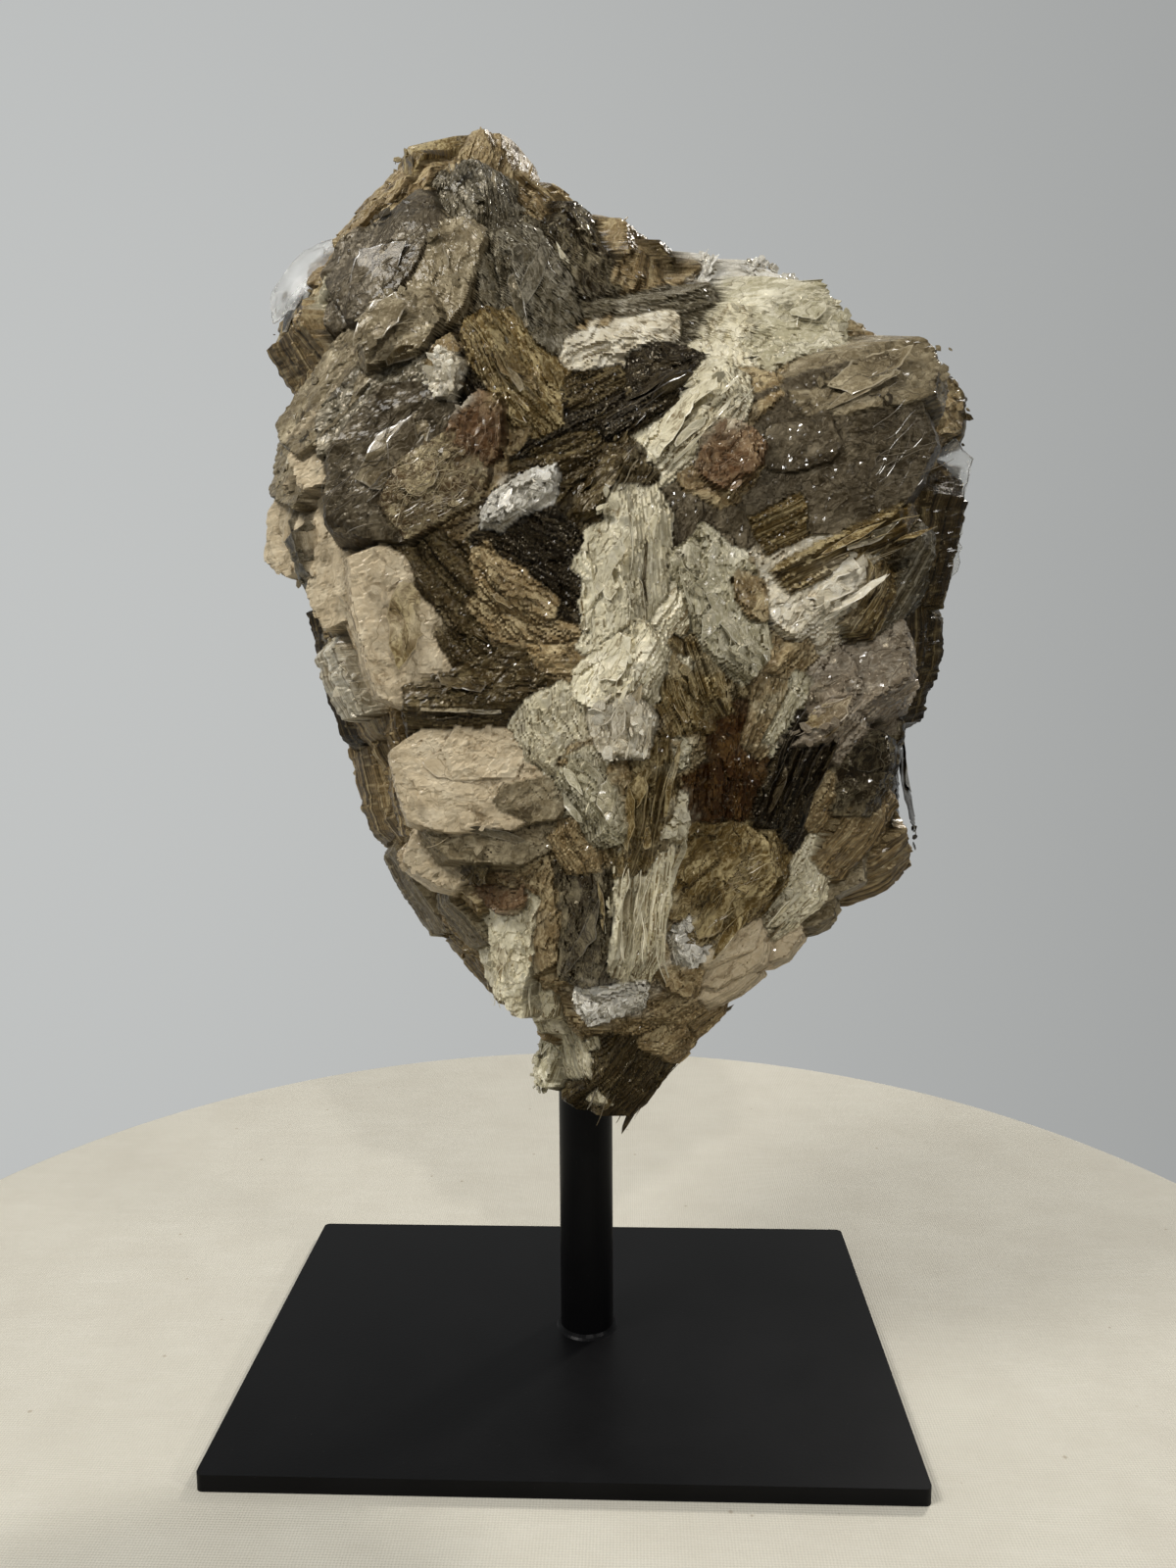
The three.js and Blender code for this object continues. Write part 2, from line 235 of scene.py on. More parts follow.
# ---------------------------------------------------------------- chance and unevenness

def chance(seed, step):
    """A number from 0 to 1: the fraction part of 43758.5453 sin(12.9898 seed + 78.233 step)."""
    wave = np.sin(seed * 12.9898 + step * 78.233) * 43758.5453
    return wave - np.floor(wave)


def between(limits, seed, step):
    """A value between two limits, the same each time for one seed and step."""
    return limits[0] + (limits[1] - limits[0]) * chance(seed, step)


def ripple(a, b, seed, size, octaves=4):
    """Unevenness from about -1 to 1 over a plane: sine waves of length size at chance headings, bent by a second
    sine across them, each octave 1.9 times finer and 0.55 times lower than the one before."""
    total = 0.0
    for k in range(octaves):
        heading, phase = TURN * chance(seed, 60 + k), TURN * chance(seed, 70 + k)
        along = (a * np.cos(heading) + b * np.sin(heading)) * 1.9**k / size
        across = (b * np.cos(heading) - a * np.sin(heading)) * 1.9**k / size
        total = total + 0.55**k * np.sin(TURN * along + phase + 1.4 * np.sin(TURN * 0.6 * across + 2 * phase))
    return total / 1.8


# ---------------------------------------------------------------- one mica book

@dataclass
class Book:
    """A stack of mica sheets: where its middle is, its three axes as rows (along the grain, across, out), its
    sizes, its finish and how its sheets bend."""

    middle: np.ndarray
    axes: np.ndarray
    long: float
    wide: float
    thick: float
    finish: str
    seed: float
    facing: float

    def __post_init__(self):
        self.edge_on = 1 - abs(np.sin(np.radians(self.facing)))
        self.face_shows = self.edge_on < 0.3
        self.fan = self.edge_on * between((0.1, 0.9), self.seed, 30)
        self.arch = self.long * between((-0.05, 0.05), self.seed, 31)
        self.dish = self.wide * between((-0.05, 0.02), self.seed, 32)
        self.wave = between((0.2, 0.45), self.seed, 33) * (1 + 1.2 * self.edge_on) * min(1.0, self.long / 20)
        self.sway = self.long * between((-0.07, 0.07), self.seed, 34)
        self.curl = between((-1.2, 0.6), self.seed, 36) * min(1.0, self.wide / 14)
        self.tint = between((0.3, 0.7), self.seed, 35)
        self.shift = 90 * chance(self.seed, np.arange(80, 83))

    def place(self, u, v, w):
        """Sheet coordinates to room coordinates. The stack opens like a fan towards its far end, arches along
        its length, dishes across it, curls at its rim, sways in its own plane, and waves."""
        a, b = 2 * u / self.long, 2 * v / self.wide
        opened = w * (1 + self.fan * np.clip(0.5 * (a + 1), 0, 1.3) ** 2)
        out = opened + self.arch * (a**2 - 0.3) + self.dish * (b**2 - 0.3)
        out = out + self.curl * np.clip(a**2 + b**2 - 0.5, 0, 1) ** 2
        out = out + self.wave * ripple(u, v, self.seed, 0.8 * self.long, 3)
        side = v + self.sway * (a**2 - 0.3)
        spread = np.stack([np.broadcast_to(x, out.shape) for x in (u, side, out)], -1)
        return self.middle + spread @ self.axes

    def grain(self, u, v, w):
        """The sheet coordinates as the pattern reads them, moved by a chance shift for each book."""
        return np.stack(np.broadcast_arrays(u, v, w), -1) + self.shift


def broken_outline(seed, long, wide, columns, corners=BOOK_CORNERS, uneven=0.26):
    """An outline of straight breaks: corner k at a turn of (k + 0.6 chance)/n and a reach of 0.56 of the size
    less up to half of uneven, with the points spread evenly along the straights."""
    k = np.arange(corners)
    turn = TURN * (k + 0.6 * chance(seed, k)) / corners
    reach = 0.5 * (1.12 - uneven + uneven * chance(seed, k + 20))
    x, y = long * reach * np.cos(turn), wide * reach * np.sin(turn)
    x, y = np.append(x, x[0]), np.append(y, y[0])
    run = np.append(0, np.cumsum(np.hypot(np.diff(x), np.diff(y))))
    stops = np.linspace(0, run[-1], columns, endpoint=False)
    return np.interp(stops, run, x), np.interp(stops, run, y)


def torn(rng, rows, columns, amount):
    """How far each sheet's rim stands out or in: chance steps, half of them smoothed over their neighbours."""
    rough = rng.normal(0, 1, (rows, columns))
    soft = sum(np.roll(rough, k, 1) for k in range(-3, 4)) / 2.6
    return amount * np.clip(0.5 * rough + 0.5 * soft, -2.2, 1.6)


# ---------------------------------------------------------------- collecting surfaces into one piece

class Skins:
    """Closed surfaces gathered for one piece, each a grid of rings between two poles."""

    def __init__(self):
        self.points, self.grain, self.tint, self.finish, self.rim = [], [], [], [], []
        self.quads, self.tris = [], []
        self.quad_looks, self.tri_looks = [], []
        self.kinds = []
        self.count = 0

    def look(self, finish, on_face):
        """The material number of a finish's face or of its edges."""
        kind = finish if finish in ("clear", "rim") else "face" if on_face else "edge"
        if kind not in self.kinds:
            self.kinds.append(kind)
        return self.kinds.index(kind)

    def rings(self, points, poles, grain, pole_grain, tint, looks, pole_looks, smooth, finish):
        """Adds rings x columns of points, closed round and capped by two poles. looks and smooth hold one
        value for each band between two rings; pole_looks one for each cap."""
        rows, columns = points.shape[:2]
        index = self.count + np.arange(rows * columns).reshape(rows, columns)
        after = np.roll(index, -1, 1)
        quads = np.stack([index[:-1], after[:-1], after[1:], index[1:]], -1).reshape(-1, 4)
        first, last = self.count + rows * columns, self.count + rows * columns + 1
        bottom = np.stack([np.full(columns, first), after[0], index[0]], -1)
        top = np.stack([index[-1], after[-1], np.full(columns, last)], -1)
        self.points += [points.reshape(-1, 3), poles]
        self.grain += [grain.reshape(-1, 3), pole_grain]
        self.tint += [np.repeat(tint, columns), tint[[0, -1]]]
        self.finish.append(np.full(rows * columns + 2, FINISH_NAMES.index(finish)))
        self.rim.append(np.zeros(rows * columns + 2))
        self.quads.append(quads)
        self.tris += [bottom, top]
        self.quad_looks.append(np.repeat(np.stack([looks, smooth], -1), columns, 0))
        self.tri_looks += [np.tile([pole_looks[0], 1], (columns, 1)), np.tile([pole_looks[1], 1], (columns, 1))]
        self.count += rows * columns + 2

    def loose(self, points, tris, grain, tint, look, finish):
        """Adds separate small closed shapes: shapes x corners of points that share one list of triangles."""
        shapes, corners = points.shape[:2]
        starts = self.count + corners * np.arange(shapes)
        self.points.append(points.reshape(-1, 3))
        self.grain.append(grain.reshape(-1, 3))
        self.tint.append(np.repeat(tint, corners))
        self.finish.append(np.full(shapes * corners, FINISH_NAMES.index(finish)))
        self.rim.append(np.zeros(shapes * corners))
        self.tris.append((starts[:, None, None] + tris).reshape(-1, 3))
        self.tri_looks.append(np.tile([look, 0], (shapes * len(tris), 1)))
        self.count += shapes * corners


def add_book(skins, book, rng):
    """A clear book: two sheets of equal thickness. Two rows to a sheet make a saw-tooth wall: the lower row is set
    in, the upper one stands at the rim. Each sheet is torn and shifted; the face closes in five rings to its
    middle, with a low relief. The first chances drawn are passed over, which keeps the later ones in step."""
    rng.random(CLEAR_PASSED_OVER)
    top = book.thick * np.array([0.0, 0.5])
    layers = len(top)
    columns = int(np.clip(1.15 * (book.long + book.wide), 24, 60))
    x, y = broken_outline(book.seed, book.long, book.wide, columns)
    radius = np.hypot(x, y) + 1e-6

    low = np.append(-book.thick / 2, top[:-1])
    each = top - low
    level = np.repeat(np.arange(layers), 2)
    gaping = rng.random(layers) < 0.14
    groove = np.where(gaping, 0.9, np.minimum(0.25, 0.6 * each)) * rng.uniform(0.4, 1.5, layers)
    inset = np.stack([groove, 0 * groove], -1).ravel()
    height = np.stack([low + 0.12 * each, top], -1).ravel()

    face_rings = np.array([0.93, 0.8, 0.62, 0.42, 0.2])
    level = np.append(level, np.full(len(face_rings), layers - 1))
    inset = np.append(inset, np.zeros(len(face_rings)))
    height = np.append(height, np.full(len(face_rings), top[-1]))
    reach = np.append(np.ones(2 * layers), face_rings)

    shared = torn(rng, 1, columns, 0.25 + 0.012 * book.long)
    tear = torn(rng, layers, columns, 0.1 + 0.004 * book.long) + shared
    packet = np.cumsum(rng.random(layers) < 0.25) % layers
    slip_u = rng.normal(0, 0.035 * book.long, layers)[packet] + rng.normal(0, 0.008 * book.long, layers)
    slip_v = rng.normal(0, 0.25 + 0.02 * book.edge_on * book.wide, layers)[packet] + rng.normal(0, 0.07, layers)
    grow = tear[level] - inset[:, None]
    u = x * (1 + grow / radius) + slip_u[level][:, None]
    v = y * (1 + grow / radius) + slip_v[level][:, None]
    sweep = ripple(u, 9.0 * level[:, None], book.seed + 3, 11.0, 3)
    v = v + 0.35 * book.edge_on * sweep * np.clip(book.wide / 12, 0.3, 1)

    u, v = u * reach[:, None], v * reach[:, None]
    relief = np.where(reach < 1, 1.0, 0.25)[:, None] * 0.1 * ripple(u, v, book.seed + 7, 5.0, 4)
    w = height[:, None] + relief
    pole_w = np.array([-book.thick / 2, top[-1]])
    poles = book.place(np.zeros(2), np.zeros(2), pole_w)

    edge, face = skins.look(book.finish, False), skins.look(book.finish, True)
    ledge = np.abs(np.diff(height)) < 0.13 * each[level[:-1]]
    looks = np.where(ledge, face, edge)
    smooth = (reach[:-1] < 1).astype(int)
    tone = rng.normal(0, 0.1 + 0.16 * book.edge_on, layers)[packet] + rng.normal(0, 0.12 * book.edge_on, layers)
    tint = np.clip(book.tint + tone[level], 0, 1)
    skins.rings(
        book.place(u, v, w), poles, book.grain(u, v, w), book.grain(np.zeros(2), np.zeros(2), pole_w),
        tint, looks, (edge, face), smooth, book.finish,
    )


def add_leaf(skins, book, rng, at, height, long, wide, turn, roll, lift, finish):
    """A thin partial sheet that follows the book's own bend: an outline of straight breaks with a torn rim,
    turned in the sheets' plane, rolled about its length, and raised towards one end by lift."""
    columns = int(np.clip(1.3 * (long + wide), 12, 34))
    x, y = broken_outline(rng.uniform(0, 900), long, wide, columns, rng.integers(4, 8), 0.55)
    radius = np.hypot(x, y) + 1e-6
    under = np.array([1, 1, 0, 0, 0])[:, None]
    rim = 1 - rng.uniform(0.12, 0.35) / radius
    scale = np.stack([0.5 * rim, 0.98 * rim, 1 + 0 * rim, rim, 0.5 * rim])
    scale = scale * (1 + torn(rng, 1, columns, min(0.4, 0.06 + 0.06 * wide)) / radius)
    c, s = np.cos(turn), np.sin(turn)
    x, y = (x * c - y * s) * scale, (x * s + y * c) * scale
    thick = rng.uniform(0.07, 0.16)
    rise = -thick * under + lift * np.clip(x / long + 0.5, 0, 1) ** 2 + 0.12 * ripple(x, y, long, 4.0, 3)
    u = at[0] + x
    v = at[1] + y * np.cos(roll) - rise * np.sin(roll)
    w = height + y * np.sin(roll) + rise * np.cos(roll)
    low = np.array([-thick, 0.0]) + lift * 0.25
    middle = (np.full(2, at[0]), at[1] - low * np.sin(roll), height + low * np.cos(roll))
    # The leaf's rim bands take the rim material, a painted highlight.
    face, rim_look = skins.look(finish, True), skins.look("rim", True)
    looks = np.array([face, rim_look, rim_look, face])
    tint = np.full(len(scale), rng.uniform(0.2, 0.9))
    shift = rng.uniform(0, 40, 3)
    skins.rings(
        book.place(u, v, w), book.place(*middle), np.stack([x, y, 0 * x], -1) + shift, np.tile(shift, (2, 1)),
        tint, looks, (face, face), np.array([1, 0, 0, 1]), finish,
    )


FLAKE_SIDES = 6


def flake_tris():
    """The triangles of a flat flake: a fan above, a fan below and a band between two rings of corners."""
    k = np.arange(FLAKE_SIDES)
    after = (k + 1) % FLAKE_SIDES
    upper, lower = 2 * FLAKE_SIDES, 2 * FLAKE_SIDES + 1
    fan = np.stack([k, after, np.full(FLAKE_SIDES, upper)], -1)
    under = np.stack([after + FLAKE_SIDES, k + FLAKE_SIDES, np.full(FLAKE_SIDES, lower)], -1)
    band_a = np.stack([k + FLAKE_SIDES, after + FLAKE_SIDES, after], -1)
    band_b = np.stack([k + FLAKE_SIDES, after, k], -1)
    return np.concatenate([fan, band_a, band_b, under])


def add_flakes(skins, rng, centres, axes, sizes, lean, finish):
    """Loose flakes: a crooked hexagon each, about a fifth of a millimetre thick, its middle a little domed,
    leaning at a chance angle from the sheets it lies on."""
    count = len(centres)
    turn = TURN * (np.arange(FLAKE_SIDES) + rng.uniform(-0.3, 0.3, (count, FLAKE_SIDES))) / FLAKE_SIDES
    reach = 0.5 * sizes[:, None] * rng.uniform(0.65, 1.1, (count, FLAKE_SIDES))
    narrow = rng.uniform(0.35, 0.9, (count, 1))
    flat = np.stack([reach * np.cos(turn), narrow * reach * np.sin(turn)], -1)
    out = axes[:, 2] + lean * rng.normal(0, 1, (count, 3))
    out /= np.linalg.norm(out, axis=1, keepdims=True)
    spin = rng.uniform(0, TURN, count)[:, None]
    along = axes[:, 0] * np.cos(0.35 * spin) + axes[:, 1] * np.sin(0.35 * spin)
    along -= out * np.sum(along * out, 1, keepdims=True)
    along /= np.linalg.norm(along, axis=1, keepdims=True)
    side = np.cross(out, along)
    rim = centres[:, None] + flat[..., :1] * along[:, None] + flat[..., 1:] * side[:, None]
    thick = rng.uniform(0.05, 0.12, count)[:, None, None] * out[:, None]
    dome = 0.04 * sizes[:, None, None] * out[:, None]
    points = np.concatenate([rim + thick, rim - thick, centres[:, None] + thick + dome, centres[:, None] - thick], 1)
    grain = np.concatenate([flat, rng.uniform(0, 80, (count, 1, 1)) + 0 * flat[..., :1]], -1)
    grain = np.concatenate([grain, grain, grain[:, :1] * 0.5, grain[:, :1] * 0.5], 1)
    skins.loose(points, flake_tris(), grain, rng.uniform(0, 1, count), skins.look(finish, True), finish)


HAIR_STOPS = 9


def hair_tris():
    """The triangles of a hair: three long sides between its stations, closed by a point at each end."""
    stop, side = np.meshgrid(np.arange(HAIR_STOPS - 1), np.arange(3), indexing="ij")
    a, b = 3 * stop + side, 3 * stop + (side + 1) % 3
    k = np.arange(3)
    first, last = 3 * HAIR_STOPS, 3 * HAIR_STOPS + 1
    end = 3 * (HAIR_STOPS - 1)
    return np.concatenate([
        np.stack([a, b, b + 3], -1).reshape(-1, 3),
        np.stack([a, b + 3, a + 3], -1).reshape(-1, 3),
        np.stack([np.full(3, first), (k + 1) % 3, k], -1),
        np.stack([end + k, end + (k + 1) % 3, np.full(3, last)], -1),
    ])


def add_hairs(skins, book, rng, count, stray):
    """Fine sheet rims that catch the light, painted in a light colour as highlights: a three-sided thread each, a
    fifth of a millimetre across and tapered to its ends, along a path whose heading starts near the grain (stray in
    radians) and turns evenly. They lie on the face, or along the edges of a stack seen edge-on."""
    if not count:
        return
    t = np.linspace(0, 1, HAIR_STOPS)
    length = rng.uniform(0.1, 0.5, (count, 1)) * book.long
    heading = rng.normal(0, stray, (count, 1)) + rng.normal(0, 1.6 * min(1, stray * 2), (count, 1)) * (t - 0.5)
    heading = heading + 0.25 * np.sin(TURN * (t * rng.uniform(0.5, 1.5, (count, 1)) + rng.random((count, 1))))
    step = length / (HAIR_STOPS - 1)
    x = np.cumsum(np.cos(heading), 1) * step
    y = np.cumsum(np.sin(heading), 1) * step
    x, y = x - x.mean(1, keepdims=True), y - y.mean(1, keepdims=True)
    u = np.clip(x + rng.uniform(-0.33, 0.33, (count, 1)) * book.long, -0.42 * book.long, 0.42 * book.long)
    if book.face_shows:
        v = np.clip(y + rng.uniform(-0.36, 0.36, (count, 1)) * book.wide, -0.4 * book.wide, 0.4 * book.wide)
        w = book.thick / 2 + rng.uniform(0.0, 0.22, (count, 1)) + 0 * u
    else:
        v = -book.wide * rng.uniform(0.44, 0.5, (count, 1)) + 0 * u
        w = np.clip(y * 0.3 + rng.uniform(-0.5, 0.5, (count, 1)) * book.thick, -0.5 * book.thick, 0.52 * book.thick)
    thick = rng.uniform(0.04, 0.1, (count, 1)) * np.sqrt(1.02 - (2 * t - 1) ** 2)
    corner = TURN * np.arange(3) / 3
    across = thick[..., None] * np.cos(corner)
    up = thick[..., None] * np.sin(corner)
    if not book.face_shows:
        across, up = -up, across
    points = book.place(u[..., None], v[..., None] + across, w[..., None] + up)
    ends = book.place(u[:, [0, -1]], v[:, [0, -1]], w[:, [0, -1]])
    points = np.concatenate([points.reshape(count, -1, 3), ends], 1)
    grain = np.zeros(points.shape) + rng.uniform(0, 60, (count, 1, 3))
    skins.loose(points, hair_tris(), grain, rng.uniform(0.2, 1, count), skins.look("rim", True), book.finish)


# How each finish breaks up: partial sheets for each 100 mm2 of face, blades for each 100 mm2 of edges, hairs for
# each 100 mm2 of either, how far those stray from the grain, flakes for each book, and how far the flakes lean.
BREAKS = {
    "smoky": (0.5, 3, 7, 0.7, 14, 0.12), "pearl": (0.7, 4, 3, 0.5, 20, 0.15), "tan": (0.9, 6, 5, 0.25, 24, 0.3),
    "gold": (0.9, 9, 18, 0.2, 26, 0.35), "olive": (0.7, 6, 12, 0.3, 20, 0.25), "umber": (0.7, 6, 10, 0.15, 18, 0.25),
    "blush": (0.3, 3, 0, 0.6, 10, 0.1), "cream": (1.0, 7, 7, 0.3, 34, 0.4), "white": (1.2, 6, 6, 0.5, 40, 0.35),
    "slate": (0.8, 5, 4, 0.4, 24, 0.25), "lilac": (1.2, 5, 4, 0.4, 24, 0.25), "amber": (0.9, 5, 5, 0.3, 16, 0.3),
    "russet": (0.5, 3, 8, 0.8, 8, 0.15), "glassy": (0.8, 5, 5, 0.3, 20, 0.25), "frost": (1.5, 5, 10, 0.7, 50, 0.3),
    "silver": (1.6, 6, 6, 0.6, 120, 0.6), "web": (0.6, 4, 45, 1.4, 50, 0.3),
}
# Blades and hairs keep to this share of the width, so that none stand off the outline.
OUTLINE_HAIRS = 0.72
STRAY_FINISHES = ("gold", "tan", "cream", "pearl", "olive", "slate")


def dress(skins, book, rng, plenty=1.0):
    """A book's partial sheets, blades and loose flakes. Partial sheets lie on its face. Blades, long and narrow,
    stand out between the sheets at its edges, rolled about their length. Clear books are whole stacks."""
    if book.finish == "clear":
        add_book(skins, book, rng)
        return
    leaves, blades, hairs, stray, flakes, lean = BREAKS[book.finish]
    for _ in range(round(plenty * 0.6 * (leaves * book.long * book.wide / 100)) if book.edge_on < 0.75 else 0):
        size = rng.uniform(0.3, 0.75)
        long, wide = max(3.0, size * book.long), max(2.0, size * book.wide * rng.uniform(0.5, 1.0))
        at = rng.uniform(-0.16, 0.16, 2) * (book.long, book.wide)
        finish = rng.choice(STRAY_FINISHES) if rng.random() < 0.15 else book.finish
        turn, roll = rng.normal(0, 0.5), rng.normal(0, 0.04)
        add_leaf(skins, book, rng, at, book.thick / 2 + rng.uniform(0.0, 0.22), long, wide, turn, roll,
                 rng.uniform(0, 0.3), finish)
    edge_area = book.long * book.thick * (0.3 + 0.7 * book.edge_on)
    x, _, half_wide, _ = section_at(book.middle[2])
    inside = abs(book.middle[0] - x) < OUTLINE_HAIRS * half_wide
    for _ in range(round(plenty * (0.6 * blades * edge_area / 100 + 1)) if inside else 0):
        long = rng.uniform(0.2, 0.6) * book.long
        wide = rng.uniform(0.8, 3.2) * min(1, book.long / 20)
        at = np.array([rng.uniform(-0.46, 0.46) * (book.long - long), -rng.uniform(0.4, 0.48) * book.wide])
        finish = rng.choice(STRAY_FINISHES) if rng.random() < 0.2 else book.finish
        add_leaf(skins, book, rng, at, rng.uniform(-0.5, 0.5) * book.thick, long, wide, rng.normal(0, 0.05),
                 rng.normal(0, 0.45), rng.uniform(-0.2, 0.3), finish)
    area = book.long * (book.wide if book.face_shows else 0.3 * book.thick)
    add_hairs(skins, book, rng, round(plenty * hairs * area / 100) if inside else 0, stray)
    flakes = round(plenty * flakes)
    angle = rng.uniform(0, TURN, flakes)
    spread = rng.uniform(0.3, 1.0, flakes) ** 0.5
    u, v = 0.48 * book.long * spread * np.cos(angle), 0.48 * book.wide * spread * np.sin(angle)
    w = book.thick * np.where(spread > 0.88, rng.uniform(-0.3, 0.5, flakes), 0.51)
    axes = np.broadcast_to(book.axes, (flakes, 3, 3))
    add_flakes(skins, rng, book.place(u, v, w), axes, rng.uniform(0.7, 2.8, flakes), lean, book.finish)


# ---------------------------------------------------------------- where the books are

def sheet_axes(grain, facing):
    """A front book's axes as rows: u = (cos a, 0, sin a), n = cos f (-sin a, 0, cos a) + sin f (0, -1, 0) and
    v = n x u."""
    a, f = np.radians(grain), np.radians(facing)
    along = np.array([np.cos(a), 0, np.sin(a)])
    out = np.array([-np.sin(a) * np.cos(f), -np.sin(f), np.cos(a) * np.cos(f)])
    return np.array([along, np.cross(out, along), out])


def front_book(x, y, z, grain, facing, long, wide, thick, finish):
    """The stated point is on the outer surface, so the middle lies deeper by half of the book's depth."""
    f = np.radians(facing)
    inward = (np.cos(f) * wide + np.sin(f) * thick) / 2
    middle = np.array([x, y + inward, z], float)
    return Book(middle, sheet_axes(grain, facing), long, wide, thick, finish, x + z / 3, facing)


def section_at(z):
    """Middle x, middle y, half width and half depth of the inner mass at a height."""
    return [np.interp(z, SECTIONS[:, 0], SECTIONS[:, k]) for k in range(1, 5)]


def turned(vector, axis, angle):
    """A vector turned about a unit axis (Rodrigues' formula)."""
    cross = np.cross(axis, vector)
    return vector * np.cos(angle) + cross * np.sin(angle) + axis * (axis @ vector) * (1 - np.cos(angle))


def rear_book(index):
    """Book number index on the spiral: its face looks outward, turned aside by up to REAR_STRAY degrees."""
    seed = REAR_SEED + index
    z = REAR_HEIGHTS[0] + (REAR_HEIGHTS[1] - REAR_HEIGHTS[0]) * (index + 0.5) / REAR_COUNT
    turn = np.radians(REAR_TURN[0] + (REAR_TURN[1] - REAR_TURN[0]) * ((index * GOLDEN) % 1))
    x, y, half_wide, half_deep = section_at(z)
    outward = np.array([half_deep * np.cos(turn), half_wide * np.sin(turn), 0])
    outward /= np.linalg.norm(outward)
    tilt = np.radians(REAR_STRAY * (2 * chance(seed, 40) - 1))
    yaw = np.radians(REAR_STRAY * (2 * chance(seed, 41) - 1))
    out = turned(outward, np.array([0, 0, 1.0]), yaw)
    sideways = np.array([-out[1], out[0], 0])
    out = turned(out, sideways, tilt)
    along = turned(sideways, out, 1.2 + 1.3 * ripple(40 * turn, z, 8.0, 95.0, 2) + 0.5 * (chance(seed, 42) - 0.5))
    long = between(REAR_LONG, seed, 43) * min(1, half_wide / 50)
    wide = long * between(REAR_WIDE, seed, 44)
    thick = between(REAR_THICK, seed, 45)
    share = np.cos(turn) ** 2
    middle = np.array([x + half_wide * np.cos(turn), y + half_deep * np.sin(turn), z])
    middle -= outward * REAR_SINK * (thick * (1 - share) + long * share)
    band = 0.5 + 0.42 * ripple(40 * turn, z, 9.0, 60.0, 2) + 0.16 * (chance(seed, 46) - 0.5)
    finish = REAR_FINISHES[int(np.clip(band, 0, 0.999) * len(REAR_FINISHES))]
    return Book(middle, np.array([along, np.cross(out, along), out]), long, wide, thick, finish, seed, 70)


def front_surface(x, z):
    """How far back the front is at a place: the mean of the named books' surface points, each weighted by
    exp(-d^2 / 2s^2) with s = 8 mm."""
    named = np.array([row[:3] for rows in BOOKS.values() for row in rows], float)
    apart = (x[..., None] - named[:, 0]) ** 2 + (z[..., None] - named[:, 2]) ** 2
    weight = np.exp(-apart / 128.0) + 1e-9
    return np.sum(weight * named[:, 1], -1) / np.sum(weight, -1)


def filling_books():
    """Small books that close the seams at the front. They follow a spiral on the front of the inner mass, just
    below the named books, and each takes the grain and finish of the nearest of those, a little astray."""
    named = np.array([row[:8] for rows in BOOKS.values() for row in rows], float)
    finishes = [row[8] for rows in BOOKS.values() for row in rows]
    made = []
    for index in range(FILL_COUNT):
        seed = FILL_SEED + index
        z = 68 + 160 * (index + 0.5) / FILL_COUNT
        turn = np.radians(-176 + 172 * ((index * GOLDEN) % 1))
        x, y, half_wide, half_deep = section_at(z)
        at = np.array([x + 0.97 * half_wide * np.cos(turn), y + half_deep * np.sin(turn), z])
        near = np.argmin(np.hypot(named[:, 0] - at[0], named[:, 2] - at[2]))
        finish = "tan" if finishes[near] in NEVER_FILL else finishes[near]
        grain = named[near, 3] + 24 * (chance(seed, 1) - 0.5)
        facing = np.clip(named[near, 4] + 30 * (chance(seed, 2) - 0.5), 15, 80)
        long = between((9, 18), seed, 3) * min(1, half_wide / 24)
        thick = between((5, 8), seed, 4)
        deep = max(at[1] - 6, front_surface(at[0], at[2]) + between((0.3, 2.5), seed, 5))
        made.append(front_book(at[0], deep, at[2], grain, facing, long, 0.6 * long, thick, finish))
    return made
